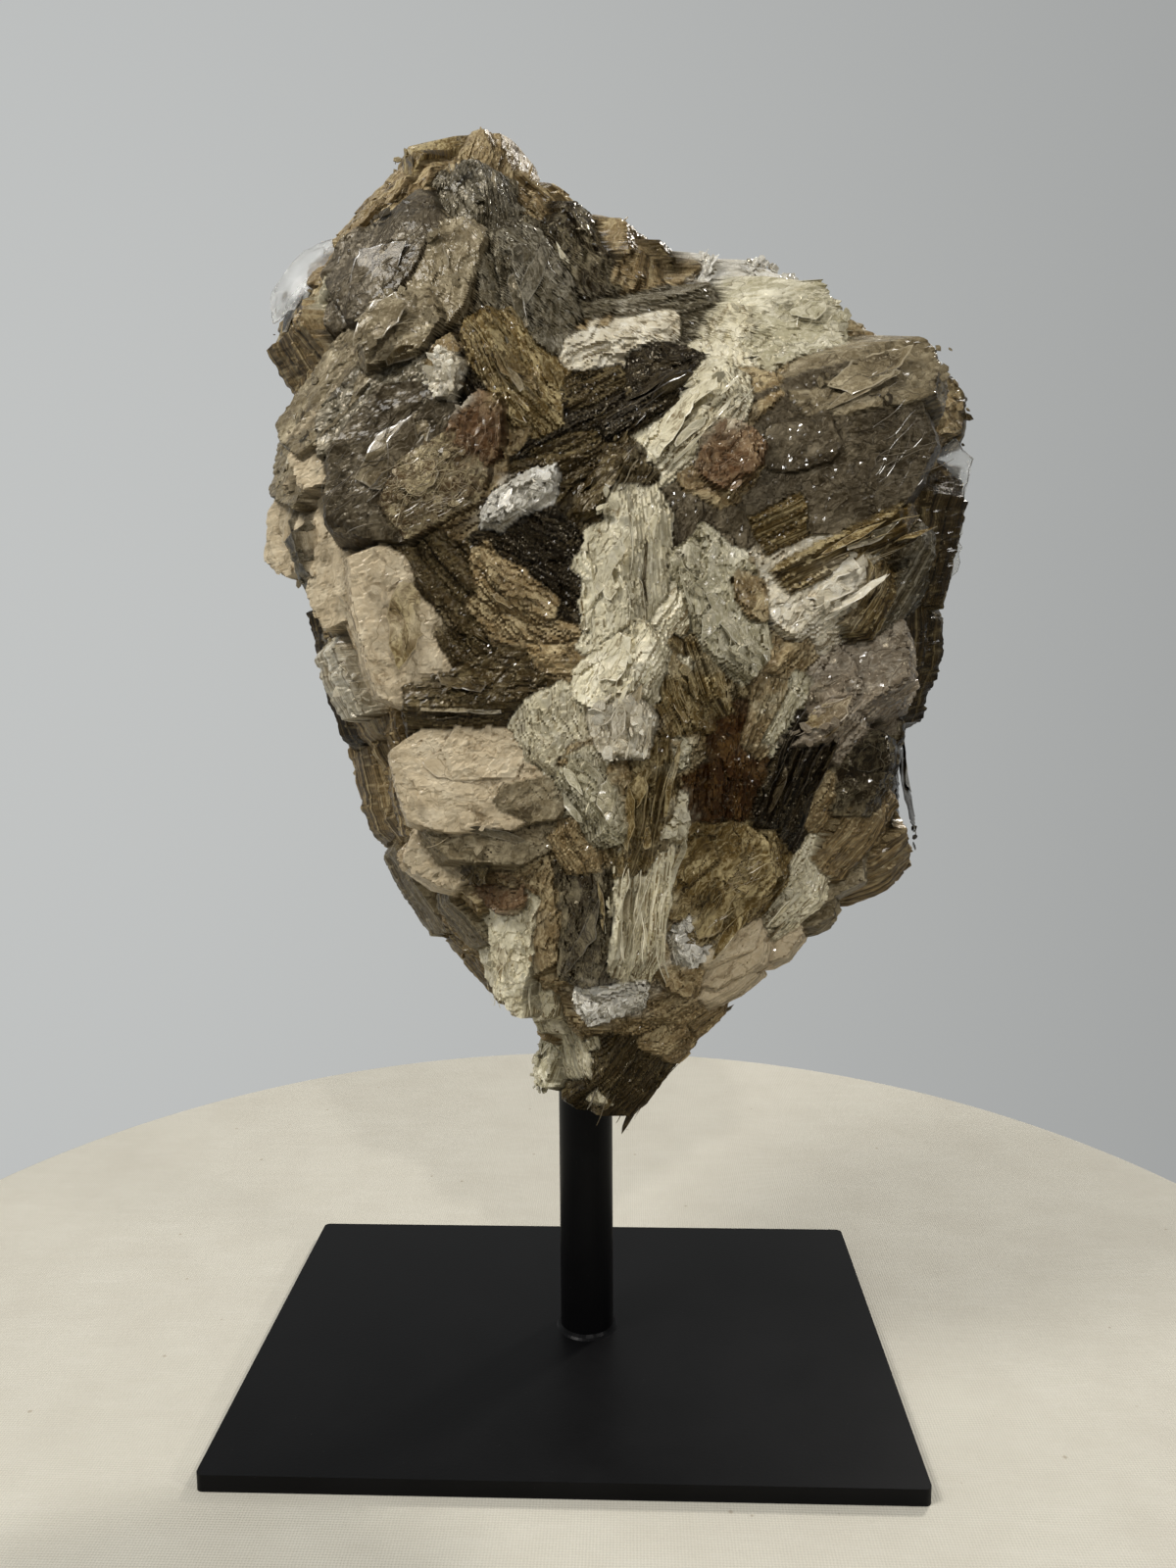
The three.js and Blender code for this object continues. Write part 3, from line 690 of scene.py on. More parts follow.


# ---------------------------------------------------------------- finishes and how they run into each other

# Each finish: body, light and dark colour, and its habit: how strongly it is streaked, how many fine pale sheet
# lines its faces show (veins, and painted highlights on the sheets' rims), and its roughness.
FINISHES = {
    "smoky": ((0.044, 0.031, 0.0145), (0.17, 0.138, 0.088), (0.0135, 0.0087, 0.0033), (0.3, 0.7, 0.46)),
    "pearl": ((0.2, 0.158, 0.0894), (0.451, 0.382, 0.251), (0.0684, 0.0489, 0.0245), (0.45, 0.6, 0.4)),
    "tan": ((0.24, 0.166, 0.0752), (0.558, 0.449, 0.258), (0.0486, 0.0302, 0.0107), (0.8, 0.5, 0.36)),
    "gold": ((0.13, 0.0825, 0.0238), (0.486, 0.39, 0.202), (0.0246, 0.0138, 0.00315), (1.0, 0.5, 0.32)),
    "olive": ((0.042, 0.0257, 0.0072), (0.165, 0.126, 0.059), (0.0078, 0.0045, 0.00102), (0.7, 0.5, 0.3)),
    "umber": ((0.00951, 0.00517, 0.00138), (0.075, 0.0568, 0.0302), (0.00154, 0.000772, 0.000207), (1.0, 0.4, 0.28)),
    "blush": ((0.594, 0.486, 0.324), (0.735, 0.63, 0.452), (0.292, 0.216, 0.124), (0.25, 0.6, 0.5)),
    "cream": ((0.757, 0.695, 0.498), (0.93, 0.874, 0.692), (0.222, 0.163, 0.0782), (0.7, 0.4, 0.4)),
    "white": ((0.74, 0.67, 0.51), (0.94, 0.9, 0.78), (0.33, 0.26, 0.16), (0.5, 0.5, 0.25)),
    "slate": ((0.0979, 0.0809, 0.0475), (0.328, 0.296, 0.224), (0.0297, 0.0219, 0.011), (0.6, 0.6, 0.32)),
    "lilac": ((0.268, 0.215, 0.15), (0.51, 0.446, 0.352), (0.09, 0.064, 0.0391), (0.5, 0.6, 0.3)),
    "amber": ((0.0356, 0.0117, 0.00124), (0.124, 0.0646, 0.018), (0.00864, 0.00273, 0.000367), (0.7, 0.3, 0.22)),
    "russet": ((0.129, 0.0648, 0.028), (0.327, 0.219, 0.121), (0.0381, 0.0186, 0.00787), (0.3, 0.7, 0.35)),
    "glassy": ((0.0243, 0.0156, 0.00613), (0.211, 0.176, 0.106), (0.00579, 0.00346, 0.00116), (0.6, 0.7, 0.2)),
    "frost": ((0.45, 0.41, 0.27), (0.82, 0.77, 0.6), (0.16, 0.13, 0.068), (0.5, 0.8, 0.26)),
    # The silver finish is a near-white colour, partly pale mica and partly painted glint where the sheets sparkle.
    "silver": ((0.8, 0.77, 0.68), (0.98, 0.96, 0.9), (0.3, 0.25, 0.16), (0.8, 0.6, 0.16)),
    "web": ((0.101, 0.064, 0.03), (0.539, 0.451, 0.268), (0.0359, 0.0217, 0.00918), (0.5, 1.0, 0.32)),
    "clear": ((0.9, 0.9, 0.87), (0.97, 0.97, 0.95), (0.8, 0.79, 0.74), (0.1, 0.2, 0.1)),
}
FINISH_NAMES = list(FINISHES)
FINISH_ROWS = np.array([np.concatenate([np.array(part, float) for part in FINISHES[name]]) for name in FINISH_NAMES])
OWN_SHARE = {
    "clear": 60.0, "silver": 4.0, "white": 1.6, "russet": 0.4, "umber": 4.0, "smoky": 2.5, "olive": 1.2,
    "cream": 0.9, "blush": 0.9,
}


def blended_finish(points, own, books):
    """The finish of each point: its own book's, and those of the books round it by exp(-1.5 r^2), where r is the
    distance in half sizes. Points are first moved by unevenness, so finishes meet along wandering borders."""
    moved = points + 3.5 * np.stack([
        ripple(points[:, 0], points[:, 2], 31.0, 9.0),
        ripple(points[:, 1], points[:, 2], 32.0, 9.0),
        ripple(points[:, 2], points[:, 0], 33.0, 9.0),
    ], -1)
    middles = np.array([book.middle for book in books])
    axes = np.array([book.axes for book in books])
    halves = np.array([(book.long, book.wide, book.thick) for book in books]) / 2 + 1.5
    which = np.array([FINISH_NAMES.index(book.finish) for book in books])
    members = np.eye(len(FINISH_NAMES))[which] * (which != FINISH_NAMES.index("clear"))[:, None]
    share = np.array([OWN_SHARE.get(name, 0.6) for name in FINISH_NAMES])
    rows = []
    for start in range(0, len(points), 8000):
        part, mine = moved[start:start + 8000], own[start:start + 8000]
        near = np.linalg.norm(middles - part.mean(0), axis=1) < 26 + np.ptp(part, 0).max() / 2
        aside = (part[:, None] - middles[near]).transpose(1, 0, 2)
        local = (aside @ axes[near].transpose(0, 2, 1)) / halves[near, None]
        weights = np.exp(-1.5 * np.sum(local**2, -1)).T @ members[near]
        weights[np.arange(len(mine)), mine] += share[mine]
        weights = weights**2
        rows.append(weights / weights.sum(1, keepdims=True) @ FINISH_ROWS)
    return np.concatenate(rows)


# ---------------------------------------------------------------- meshes

def make_piece(name, skins, materials, books):
    """Puts the gathered surfaces into one Blender mesh in metres, with the sheet coordinates, the tint and the
    finish kept on its points."""
    millimetres = np.concatenate(skins.points)
    points = millimetres * MM
    quads = np.concatenate(skins.quads) if skins.quads else np.zeros((0, 4), int)
    tris = np.concatenate(skins.tris)
    quad_looks = np.concatenate(skins.quad_looks) if skins.quads else np.zeros((0, 2), int)
    looks = np.concatenate([quad_looks, np.concatenate(skins.tri_looks)])
    mesh = bpy.data.meshes.new(name)
    mesh.vertices.add(len(points))
    mesh.vertices.foreach_set("co", points.astype(np.float32).ravel())
    mesh.loops.add(quads.size + tris.size)
    mesh.loops.foreach_set("vertex_index", np.concatenate([quads.ravel(), tris.ravel()]).astype(np.int32))
    mesh.polygons.add(len(quads) + len(tris))
    starts = np.concatenate([4 * np.arange(len(quads)), quads.size + 3 * np.arange(len(tris))])
    mesh.polygons.foreach_set("loop_start", starts.astype(np.int32))
    for kind in skins.kinds:
        mesh.materials.append(materials[kind])
    mesh.polygons.foreach_set("material_index", looks[:, 0].astype(np.int32))
    mesh.polygons.foreach_set("use_smooth", looks[:, 1].astype(bool))
    mesh.update(calc_edges=True)
    rows = blended_finish(millimetres, np.concatenate(skins.finish), books)
    rows = {"body": rows[:, 0:3], "light": rows[:, 3:6], "dark": rows[:, 6:9], "habit": rows[:, 9:12]}
    rows["grain"] = np.concatenate(skins.grain)
    for key, values in rows.items():
        layer = mesh.attributes.new(key, "FLOAT_VECTOR", "POINT")
        layer.data.foreach_set("vector", values.astype(np.float32).ravel())
    # rim marks where the materials paint a highlight on a sheet's rim.
    for key, values in (("tint", skins.tint), ("rim", skins.rim)):
        layer = mesh.attributes.new(key, "FLOAT", "POINT")
        layer.data.foreach_set("value", np.concatenate(values).astype(np.float32))
    piece = bpy.data.objects.new(name, mesh)
    bpy.context.scene.collection.objects.link(piece)
    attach(piece, "root")
    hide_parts("mica_cluster")
    return piece


# ---------------------------------------------------------------- materials

class Nodes:
    """A short way to write a node tree."""

    def __init__(self, name):
        self.material = bpy.data.materials.new(name)
        self.material.use_nodes = True
        self.tree = self.material.node_tree
        self.shader = next(node for node in self.tree.nodes if node.type == "BSDF_PRINCIPLED")

    def add(self, kind, inputs=None, **settings):
        node = self.tree.nodes.new(kind)
        for key, value in settings.items():
            setattr(node, key, value)
        for key, value in (inputs or {}).items():
            self.feed(node, key, value)
        return node

    def feed(self, node, key, value):
        if isinstance(value, bpy.types.NodeSocket):
            self.tree.links.new(value, node.inputs[key])
        else:
            node.inputs[key].default_value = value

    def attribute(self, name, output="Vector"):
        return self.add("ShaderNodeAttribute", attribute_name=name).outputs[output]

    def room(self):
        """Object coordinates in millimetres."""
        return self.vector("MULTIPLY", self.add("ShaderNodeTexCoord").outputs["Object"], (1000, 1000, 1000))

    def vector(self, operation, a, b):
        return self.add("ShaderNodeVectorMath", {0: a, 1: b}, operation=operation).outputs[0]

    def sums(self, operation, a, b):
        return self.add("ShaderNodeMath", {0: a, 1: b}, operation=operation).outputs[0]

    def noise(self, vector, scale=1.0, detail=4.0, rough=0.6, warp=0.0, output="Fac"):
        inputs = {"Vector": vector, "Scale": scale, "Detail": detail, "Roughness": rough, "Distortion": warp}
        return self.add("ShaderNodeTexNoise", inputs).outputs[output]

    def cells(self, vector, scale, output="Color"):
        return self.add("ShaderNodeTexVoronoi", {"Vector": vector, "Scale": scale}).outputs[output]

    def ranged(self, value, low, high, to_low=0.0, to_high=1.0):
        inputs = {"Value": value, "From Min": low, "From Max": high, "To Min": to_low, "To Max": to_high}
        return self.add("ShaderNodeMapRange", inputs).outputs["Result"]

    def mixed(self, factor, a, b, blend="MIX"):
        node = self.add("ShaderNodeMix", data_type="RGBA", blend_type=blend)
        self.feed(node, "Factor", factor)
        self.feed(node, 6, a)
        self.feed(node, 7, b)
        return node.outputs[2]

    def terraces(self, value, count):
        """The steps where value times count passes a whole number: a chance tone and colour for each terrace, and
        how far up its slope a point is, from 0 to 1."""
        value = self.sums("MULTIPLY", value, count)
        chances = self.add("ShaderNodeTexWhiteNoise", noise_dimensions="1D")
        self.feed(chances, "W", self.sums("FLOOR", value, 0.0))
        return chances.outputs["Value"], chances.outputs["Color"], self.sums("FRACT", value, 0.0)

    def vein(self, vector, width):
        """Thin winding lines where an unevenness passes through its middle value."""
        apart = self.sums("ABSOLUTE", self.sums("SUBTRACT", self.noise(vector, 1.0, 2.5, 0.5), 0.5), 0.0)
        return self.ranged(apart, width, 0.0)

    def blend(self, *parts):
        """0.5 plus the sum of each value's distance from 0.5 times its weight."""
        total = 0.5
        for value, weight in parts:
            total = self.sums("ADD", total, self.sums("MULTIPLY", self.sums("SUBTRACT", value, 0.5), weight))
        return total

    def facets(self, chances, lean):
        """The normal leant aside by each sheet's own chance amount, as cleaved sheets lie at slight angles."""
        lean = self.vector("MULTIPLY", self.vector("SUBTRACT", chances, (0.5, 0.5, 0.5)), (lean, lean, lean))
        normal = self.add("ShaderNodeNewGeometry").outputs["Normal"]
        leaning = self.vector("ADD", normal, lean)
        return self.add("ShaderNodeVectorMath", {0: leaning}, operation="NORMALIZE").outputs[0]


def colour(red, green, blue):
    return (red, green, blue, 1.0)


def mica_face(name):
    """A cleaved face. Thin sheets end in wandering terraces, broad ones and small ones: each has its own tone
    and leans a little, with a painted highlight on its rim and a painted shadow line below it. Blotches and fibres
    run between the body, light and dark colours, and the rims marked on the points take a painted highlight."""
    n = Nodes(name)
    grain, room = n.attribute("grain"), n.room()
    body, light, dark = (n.attribute(key, "Color") for key in ("body", "light", "dark"))
    habit = n.add("ShaderNodeSeparateXYZ", {0: n.attribute("habit")}).outputs
    drift = n.vector("SUBTRACT", n.noise(room, 0.16, 3.0, output="Color"), (0.5, 0.5, 0.5))
    flow = n.vector("ADD", grain, n.vector("MULTIPLY", drift, (9.0, 9.0, 3.0)))
    broad, broad_chance, broad_slope = n.terraces(
        n.noise(n.vector("MULTIPLY", flow, (0.035, 0.085, 0.1)), 1.0, 2.5, 0.5), 17.0)
    small, small_chance, small_slope = n.terraces(
        n.noise(n.vector("MULTIPLY", flow, (0.1, 0.28, 0.3)), 1.0, 2.5, 0.5), 13.0)
    blotch = n.noise(room, 0.17, 6.0, 0.66, 0.6)
    fibre = n.noise(n.vector("MULTIPLY", flow, (0.11, 1.5, 2.2)), 1.0, 4.0, 0.65)
    grit = n.noise(room, 1.7, 3.0, 0.7)

    tone = n.blend((broad, 0.32), (small, 0.26), (blotch, 1.3), (fibre, n.sums("MULTIPLY", habit[0], 1.1)), (grit, 0.4))
    base = n.mixed(n.ranged(tone, 0.56, 0.82), body, light)
    base = n.mixed(n.ranged(tone, 0.46, 0.2), base, dark)
    # Painted highlight: the light colour along each terrace's rim.
    painted_rim_highlight = n.sums("ADD", n.sums("MULTIPLY", n.ranged(broad_slope, 0.13, 0.0), 0.6),
                  n.sums("MULTIPLY", n.ranged(small_slope, 0.14, 0.0), 0.4))
    base = n.mixed(n.sums("MULTIPLY", painted_rim_highlight, habit[1]), base, light)
    veins = n.sums("ADD", n.vein(n.vector("MULTIPLY", flow, (0.045, 0.15, 0.2)), 0.009),
                   n.vein(n.vector("MULTIPLY", flow, (0.1, 0.4, 0.5)), 0.014))
    patchy = n.ranged(n.noise(room, 0.09, 3.0, 0.6), 0.42, 0.6, 0.1, 1.0)
    base = n.mixed(n.sums("MULTIPLY", n.sums("MULTIPLY", veins, patchy), habit[1]), base, light)
    cracks = n.vein(n.vector("MULTIPLY", n.vector("ADD", flow, (31, 7, 0)), (0.06, 0.13, 0.2)), 0.008)
    base = n.mixed(n.sums("MULTIPLY", cracks, 0.75), base, dark)
    # Painted shadow: the dark colour at the top of each terrace's slope, as shade below the next sheet's rim.
    painted_step_shadow = n.sums("ADD", n.sums("MULTIPLY", n.ranged(broad_slope, 0.9, 1.0), 0.8),
                  n.sums("MULTIPLY", n.ranged(small_slope, 0.92, 1.0), 0.4))
    base = n.mixed(n.sums("MULTIPLY", painted_step_shadow, n.ranged(blotch, 0.35, 0.6)), base, dark)
    tint = n.attribute("tint", "Fac")
    base = n.mixed(1.0, base, n.mixed(tint, colour(0.7, 0.68, 0.64), colour(1.25, 1.25, 1.25)), "MULTIPLY")
    # Painted highlight: the light colour on the rims marked on the points.
    base = n.mixed(n.sums("MULTIPLY", n.attribute("rim", "Fac"), 0.7), base, light)
    n.feed(n.shader, "Base Color", base)
    n.feed(n.shader, "Roughness", n.sums("ADD", habit[2], n.ranged(grit, 0.3, 0.7, -0.2, 0.02)))
    n.feed(n.shader, "Specular IOR Level", 0.38)
    n.feed(n.shader, "Specular Tint", colour(1.0, 0.86, 0.62))
    n.feed(n.shader, "Coat Weight", 0.16)
    n.feed(n.shader, "Coat Roughness", 0.08)
    height = n.blend((broad_slope, 0.7), (small_slope, 0.4), (fibre, 0.7), (veins, 0.25), (cracks, -0.5))
    relief = n.add("ShaderNodeBump", {"Height": height, "Strength": 0.5, "Distance": 0.0003,
                                      "Normal": n.facets(n.mixed(0.5, broad_chance, small_chance), 0.42)})
    n.feed(n.shader, "Normal", relief.outputs["Normal"])
    return n.material


def mica_edge(name):
    """The edges of the sheets: bands along the grain, half a millimetre and a fifth of one thick, each with its
    own tone and leaning a little, that waver and run out, with fibres over them. Each thick band darkens at the
    top of its slope as a painted shadow under the next sheet, and the rims marked on the points take a painted
    highlight."""
    n = Nodes(name)
    grain, room = n.attribute("grain"), n.room()
    body, light, dark = (n.attribute(key, "Color") for key in ("body", "light", "dark"))
    habit = n.add("ShaderNodeSeparateXYZ", {0: n.attribute("habit")}).outputs
    drift = n.vector("SUBTRACT", n.noise(room, 0.12, 2.0, output="Color"), (0.5, 0.5, 0.5))
    flow = n.vector("ADD", grain, n.vector("MULTIPLY", drift, (3.0, 3.0, 0.7)))
    out = n.add("ShaderNodeSeparateXYZ", {0: flow}).outputs[2]
    wander = n.sums("MULTIPLY", n.noise(n.vector("MULTIPLY", flow, (0.04, 0.25, 0.3)), 1.0, 2.0, 0.5), 0.7)
    thick, thick_chance, thick_slope = n.terraces(n.sums("ADD", n.sums("MULTIPLY", out, 0.45), wander), 4.2)
    thin, thin_chance, thin_slope = n.terraces(n.sums("ADD", n.sums("MULTIPLY", out, 0.7), wander), 8.0)
    fibre = n.noise(n.vector("MULTIPLY", flow, (0.1, 0.8, 6.0)), 1.0, 3.0, 0.65)
    blotch = n.noise(room, 0.2, 5.0, 0.66)
    tone = n.blend((thick, 0.42), (thin, 0.45), (fibre, 0.9), (blotch, 1.1))
    base = n.mixed(n.ranged(tone, 0.6, 0.95), body, light)
    base = n.mixed(n.ranged(tone, 0.47, 0.2), base, dark)
    # Painted shadow: each thick band darkens at the top of its slope, as shade under the next sheet.
    base = n.mixed(n.ranged(thick_slope, 0.8, 1.0, 0.0, 0.8), base, dark)
    tint = n.attribute("tint", "Fac")
    base = n.mixed(1.0, base, n.mixed(tint, colour(0.5, 0.48, 0.44), colour(1.35, 1.35, 1.35)), "MULTIPLY")
    # Painted highlight: the light colour on the rims marked on the points.
    base = n.mixed(n.sums("MULTIPLY", n.attribute("rim", "Fac"), 0.7), base, light)
    n.feed(n.shader, "Base Color", base)
    n.feed(n.shader, "Roughness", n.sums("ADD", habit[2], n.ranged(fibre, 0.3, 0.7, -0.1, 0.12)))
    n.feed(n.shader, "Specular IOR Level", 0.28)
    n.feed(n.shader, "Specular Tint", colour(1.0, 0.82, 0.52))
    n.feed(n.shader, "Coat Weight", 0.12)
    n.feed(n.shader, "Coat Roughness", 0.1)
    height = n.blend((thick_slope, 0.8), (thin_slope, 0.4), (fibre, 0.5))
    relief = n.add("ShaderNodeBump", {"Height": height, "Strength": 0.7, "Distance": 0.0003,
                                      "Normal": n.facets(n.mixed(0.5, thick_chance, thin_chance), 0.5)})
    n.feed(n.shader, "Normal", relief.outputs["Normal"])
    return n.material


def sheet_rim_highlight(name):
    """The rims of single sheets and hairs, which gather light: a painted highlight in the light colour, glossy, a
    little uneven.
    """
    n = Nodes(name)
    room = n.room()
    light = n.attribute("light", "Color")
    uneven = n.noise(room, 0.6, 3.0, 0.6)
    base = n.mixed(n.ranged(uneven, 0.35, 0.7, 0.25, 0.85), light, n.attribute("body", "Color"))
    base = n.mixed(1.0, base, n.mixed(n.attribute("tint", "Fac"), colour(0.75, 0.73, 0.7), colour(1.25, 1.25, 1.25)),
                   "MULTIPLY")
    n.feed(n.shader, "Base Color", base)
    n.feed(n.shader, "Roughness", n.ranged(uneven, 0.3, 0.7, 0.18, 0.4))
    n.feed(n.shader, "Specular IOR Level", 0.8)
    n.feed(n.shader, "Coat Weight", 0.4)
    n.feed(n.shader, "Coat Roughness", 0.1)
    return n.material


def clear_sheet(name):
    """A clear mica sheet: see-through, with a faint relief along the grain and hazy patches."""
    n = Nodes(name)
    grain = n.attribute("grain")
    streak = n.noise(n.vector("MULTIPLY", grain, (0.06, 0.3, 0.3)), 1.0, 4.0, 0.6, 0.3)
    base = n.mixed(n.ranged(streak, 0.4, 0.7), colour(0.9, 0.9, 0.87), colour(0.98, 0.98, 0.97))
    n.feed(n.shader, "Base Color", base)
    n.feed(n.shader, "Roughness", n.ranged(streak, 0.45, 0.7, 0.25, 0.45))
    n.feed(n.shader, "Transmission Weight", 0.8)
    n.feed(n.shader, "IOR", 1.3)
    n.feed(n.shader, "Specular IOR Level", 0.25)
    relief = n.add("ShaderNodeBump", {"Height": streak, "Strength": 0.08, "Distance": 0.0003})
    n.feed(n.shader, "Normal", relief.outputs["Normal"])
    return n.material


def black_coat(name, rough):
    """Black powder coat: an orange-peel skin, with faint dust and a slight unevenness in its gloss."""
    n = Nodes(name)
    room = n.room()
    peel = n.noise(room, 1.9, 2.0, 0.5)
    haze = n.noise(room, 0.04, 4.0, 0.6)
    dust = n.noise(room, 2.6, 1.0, 0.5)
    base = n.mixed(n.ranged(haze, 0.35, 0.7), colour(0.0025, 0.0025, 0.0028), colour(0.005, 0.005, 0.0055))
    base = n.mixed(n.ranged(dust, 0.8, 0.86, 0.0, 0.25), base, colour(0.2, 0.2, 0.19))
    n.feed(n.shader, "Base Color", base)
    n.feed(n.shader, "Roughness", n.ranged(haze, 0.3, 0.7, rough - 0.04, rough + 0.06))
    n.feed(n.shader, "Specular IOR Level", 0.1)
    relief = n.add("ShaderNodeBump", {"Height": peel, "Strength": 0.12, "Distance": 0.00015})
    n.feed(n.shader, "Normal", relief.outputs["Normal"])
    return n.material


def canvas(name):
    """Unbleached canvas: a plain weave of two crossed thread waves, with slubs and a few dark seed flecks."""
    n = Nodes(name)
    room = n.room()
    threads = [n.add("ShaderNodeTexWave", {"Vector": room, "Scale": 0.57, "Distortion": 1.2, "Detail": 1.0,
                                           "Detail Scale": 2.0}, bands_direction=way).outputs["Fac"] for way in "XY"]
    weave = n.sums("MULTIPLY", n.sums("ADD", *threads), 0.5)
    slubs = n.noise(n.vector("MULTIPLY", room, (0.06, 0.3, 1.0)), 1.0, 4.0, 0.7)
    cloud = n.noise(room, 0.05, 3.0, 0.6)
    flecks = n.sums("MULTIPLY", n.cells(room, 0.1, "Distance"), 10.0)
    base = n.mixed(n.ranged(weave, 0.2, 0.8), colour(0.6, 0.57, 0.49), colour(0.7, 0.67, 0.58))
    base = n.mixed(n.ranged(slubs, 0.45, 0.7, 0.0, 0.45), base, colour(0.7, 0.67, 0.59))
    base = n.mixed(n.ranged(cloud, 0.4, 0.65, 0.0, 0.25), base, colour(0.54, 0.5, 0.42))
    base = n.mixed(n.ranged(flecks, 0.5, 0.35, 0.0, 0.45), base, colour(0.3, 0.23, 0.15))
    n.feed(n.shader, "Base Color", base)
    n.feed(n.shader, "Roughness", 0.95)
    n.feed(n.shader, "Specular IOR Level", 0.1)
    relief = n.add("ShaderNodeBump", {"Height": weave, "Strength": 0.35, "Distance": 0.0004})
    n.feed(n.shader, "Normal", relief.outputs["Normal"])
    return n.material


# ---------------------------------------------------------------- making the specimen

# The grown-together mass: its rows and their heights, its columns round the front and the back, how many bands
# it is cut into, where its lines start as a share of the inner mass, how softly books run together, how far
# and how strongly the front is drawn together, and how strongly each finish crumbles.
MASS_ROWS = 470
MASS_HEIGHTS = (58.0, 240.5)
MASS_COLUMNS = (350, 170)
MASS_BANDS = 4
MASS_INNER = 0.6
MELT = 0.45
SOFT = 17.0
FLUSH = 0.4
CRUMBLE = {
    "blush": 0.45, "smoky": 0.3, "pearl": 0.55, "web": 0.5, "white": 1.0, "silver": 1.5, "cream": 1.0, "frost": 1.2,
}


def mix_up(a, b, c, seed):
    """A number from 0 to 1 for each cell of a block pattern, from its three whole coordinates and a seed."""
    wave = np.sin(a * 12.9898 + b * 78.233 + c * 37.719 + seed * 3.17) * 43758.5453
    return wave - np.floor(wave)


def mass_rays():
    """Straight lines that leave the inner mass at right angles to its oval sections, row by row: where they
    start, the way they go, and how far out the inner mass itself reaches on each."""
    steps = np.linspace(0, TURN, 2001)
    closeness = np.where(np.sin(steps) < 0, MASS_COLUMNS[0], MASS_COLUMNS[1])
    pace = np.hypot(58 * np.sin(steps), 33 * np.cos(steps)) * closeness
    run = np.append(0, np.cumsum(pace[:-1]))
    turn = np.interp(np.linspace(0, run[-1], sum(MASS_COLUMNS), endpoint=False), run, steps)[None]
    z = np.linspace(*MASS_HEIGHTS, MASS_ROWS)[:, None]
    x, y, half_wide, half_deep = section_at(z)
    start = np.stack([
        x + MASS_INNER * half_wide * np.cos(turn), y + MASS_INNER * half_deep * np.sin(turn), z + 0 * turn,
    ], -1)
    way = np.stack([np.cos(turn) / half_wide, np.sin(turn) / half_deep, 0 * z * turn], -1)
    way /= np.linalg.norm(way, axis=-1, keepdims=True)
    reach = half_wide * np.cos(turn) * way[..., 0] + half_deep * np.sin(turn) * way[..., 1]
    forward = np.clip(-2.5 * way[..., 1] - 1.2, 0, 1)
    front = np.concatenate([front_surface(part[..., 0], part[..., 2]) for part in np.array_split(start, 10)])
    to_front = (start[..., 1] - front - 2.5) / np.maximum(-way[..., 1], 0.6)
    to_front = np.minimum(to_front, (1.02 - MASS_INNER) * reach)
    inner = (0.84 - MASS_INNER) * reach
    return start, way, inner + forward * (to_front - inner)


def book_planes(book):
    """The flat sides of a book as rows of direction and distance from its middle, in sheet coordinates: its six
    sides, and six breaks across its corners."""
    turn = TURN * (np.arange(6) + 0.8 * chance(book.seed, np.arange(6) + 90)) / 6
    flat = np.stack([np.cos(turn), np.sin(turn), 0.25 * (chance(book.seed, np.arange(6) + 100) - 0.5)], -1)
    across = np.hypot(0.5 * book.long * np.cos(turn), 0.5 * book.wide * np.sin(turn))
    breaks = across * (0.86 + 0.2 * chance(book.seed, np.arange(6) + 110))
    sides = np.repeat(np.eye(3), 2, 0) * np.tile([[1], [-1]], (3, 1))
    limits = np.repeat(np.array([book.long, book.wide, book.thick]) / 2, 2)
    return np.concatenate([sides, flat]), np.append(limits, breaks)


def grown_together(books, start, way, reach):
    """How far out the books' common surface is on each line, and which book it belongs to. A line leaves a book
    through the nearest of its planes; the books run into each other as t log sum exp(h / t), t = MELT, with a
    fine groove where two meet."""
    total = np.exp(reach / MELT)
    best, second = np.full(reach.shape, -60.0), np.full(reach.shape, -60.0)
    owner = np.zeros(reach.shape, int)
    for number, book in enumerate(books):
        size = 0.5 * np.sqrt(book.long**2 + book.wide**2 + book.thick**2) + 5.0
        rows = np.flatnonzero(np.abs(start[:, 0, 2] - book.middle[2]) < size)
        if not len(rows):
            continue
        rows = slice(rows[0], rows[-1] + 1)
        aside = book.middle - start[rows]
        apart = np.abs(aside[..., 0] * way[rows, :, 1] - aside[..., 1] * way[rows, :, 0])
        chosen = (apart < size) & (np.sum(aside[..., :2] * way[rows][..., :2], -1) > -size)
        directions, limits = book_planes(book)
        origin = -aside[chosen] @ book.axes.T
        heading = way[rows][chosen] @ book.axes.T
        speed = heading @ directions.T
        uneven = ripple(origin[:, :1] + 3 * directions[:, 0], origin[:, 1:2] + 5 * directions[:, 1], book.seed, 9.0, 4)
        gap = limits + 0.35 * uneven - origin @ directions.T
        safe = np.where(np.abs(speed) < 1e-6, 1e-6, speed)
        leave = np.min(np.where(speed > 1e-6, gap / safe, 1e3), 1)
        enter = np.max(np.where(speed < -1e-6, gap / safe, -1e3), 1)
        blocked = np.max(np.where(np.abs(speed) <= 1e-6, -gap, -1e3), 1)
        height = leave - 1.8 * np.maximum(enter - leave, 0) - 3 * np.maximum(blocked, 0)
        height = np.clip(height, -30, 45)
        blocks = [array[rows] for array in (total, best, second, owner)]
        sums, most, runner_up, number_of = (block[chosen] for block in blocks)
        wins = height > most
        blocks[0][chosen] = sums + np.exp(height / MELT)
        blocks[1][chosen] = np.maximum(most, height)
        blocks[2][chosen] = np.maximum(runner_up, np.where(wins, most, height))
        blocks[3][chosen] = np.where(wins, number, number_of)
    groove = 0.7 * np.exp(-((best - second) / 0.5) ** 2)
    return MELT * np.log(total) - groove, owner


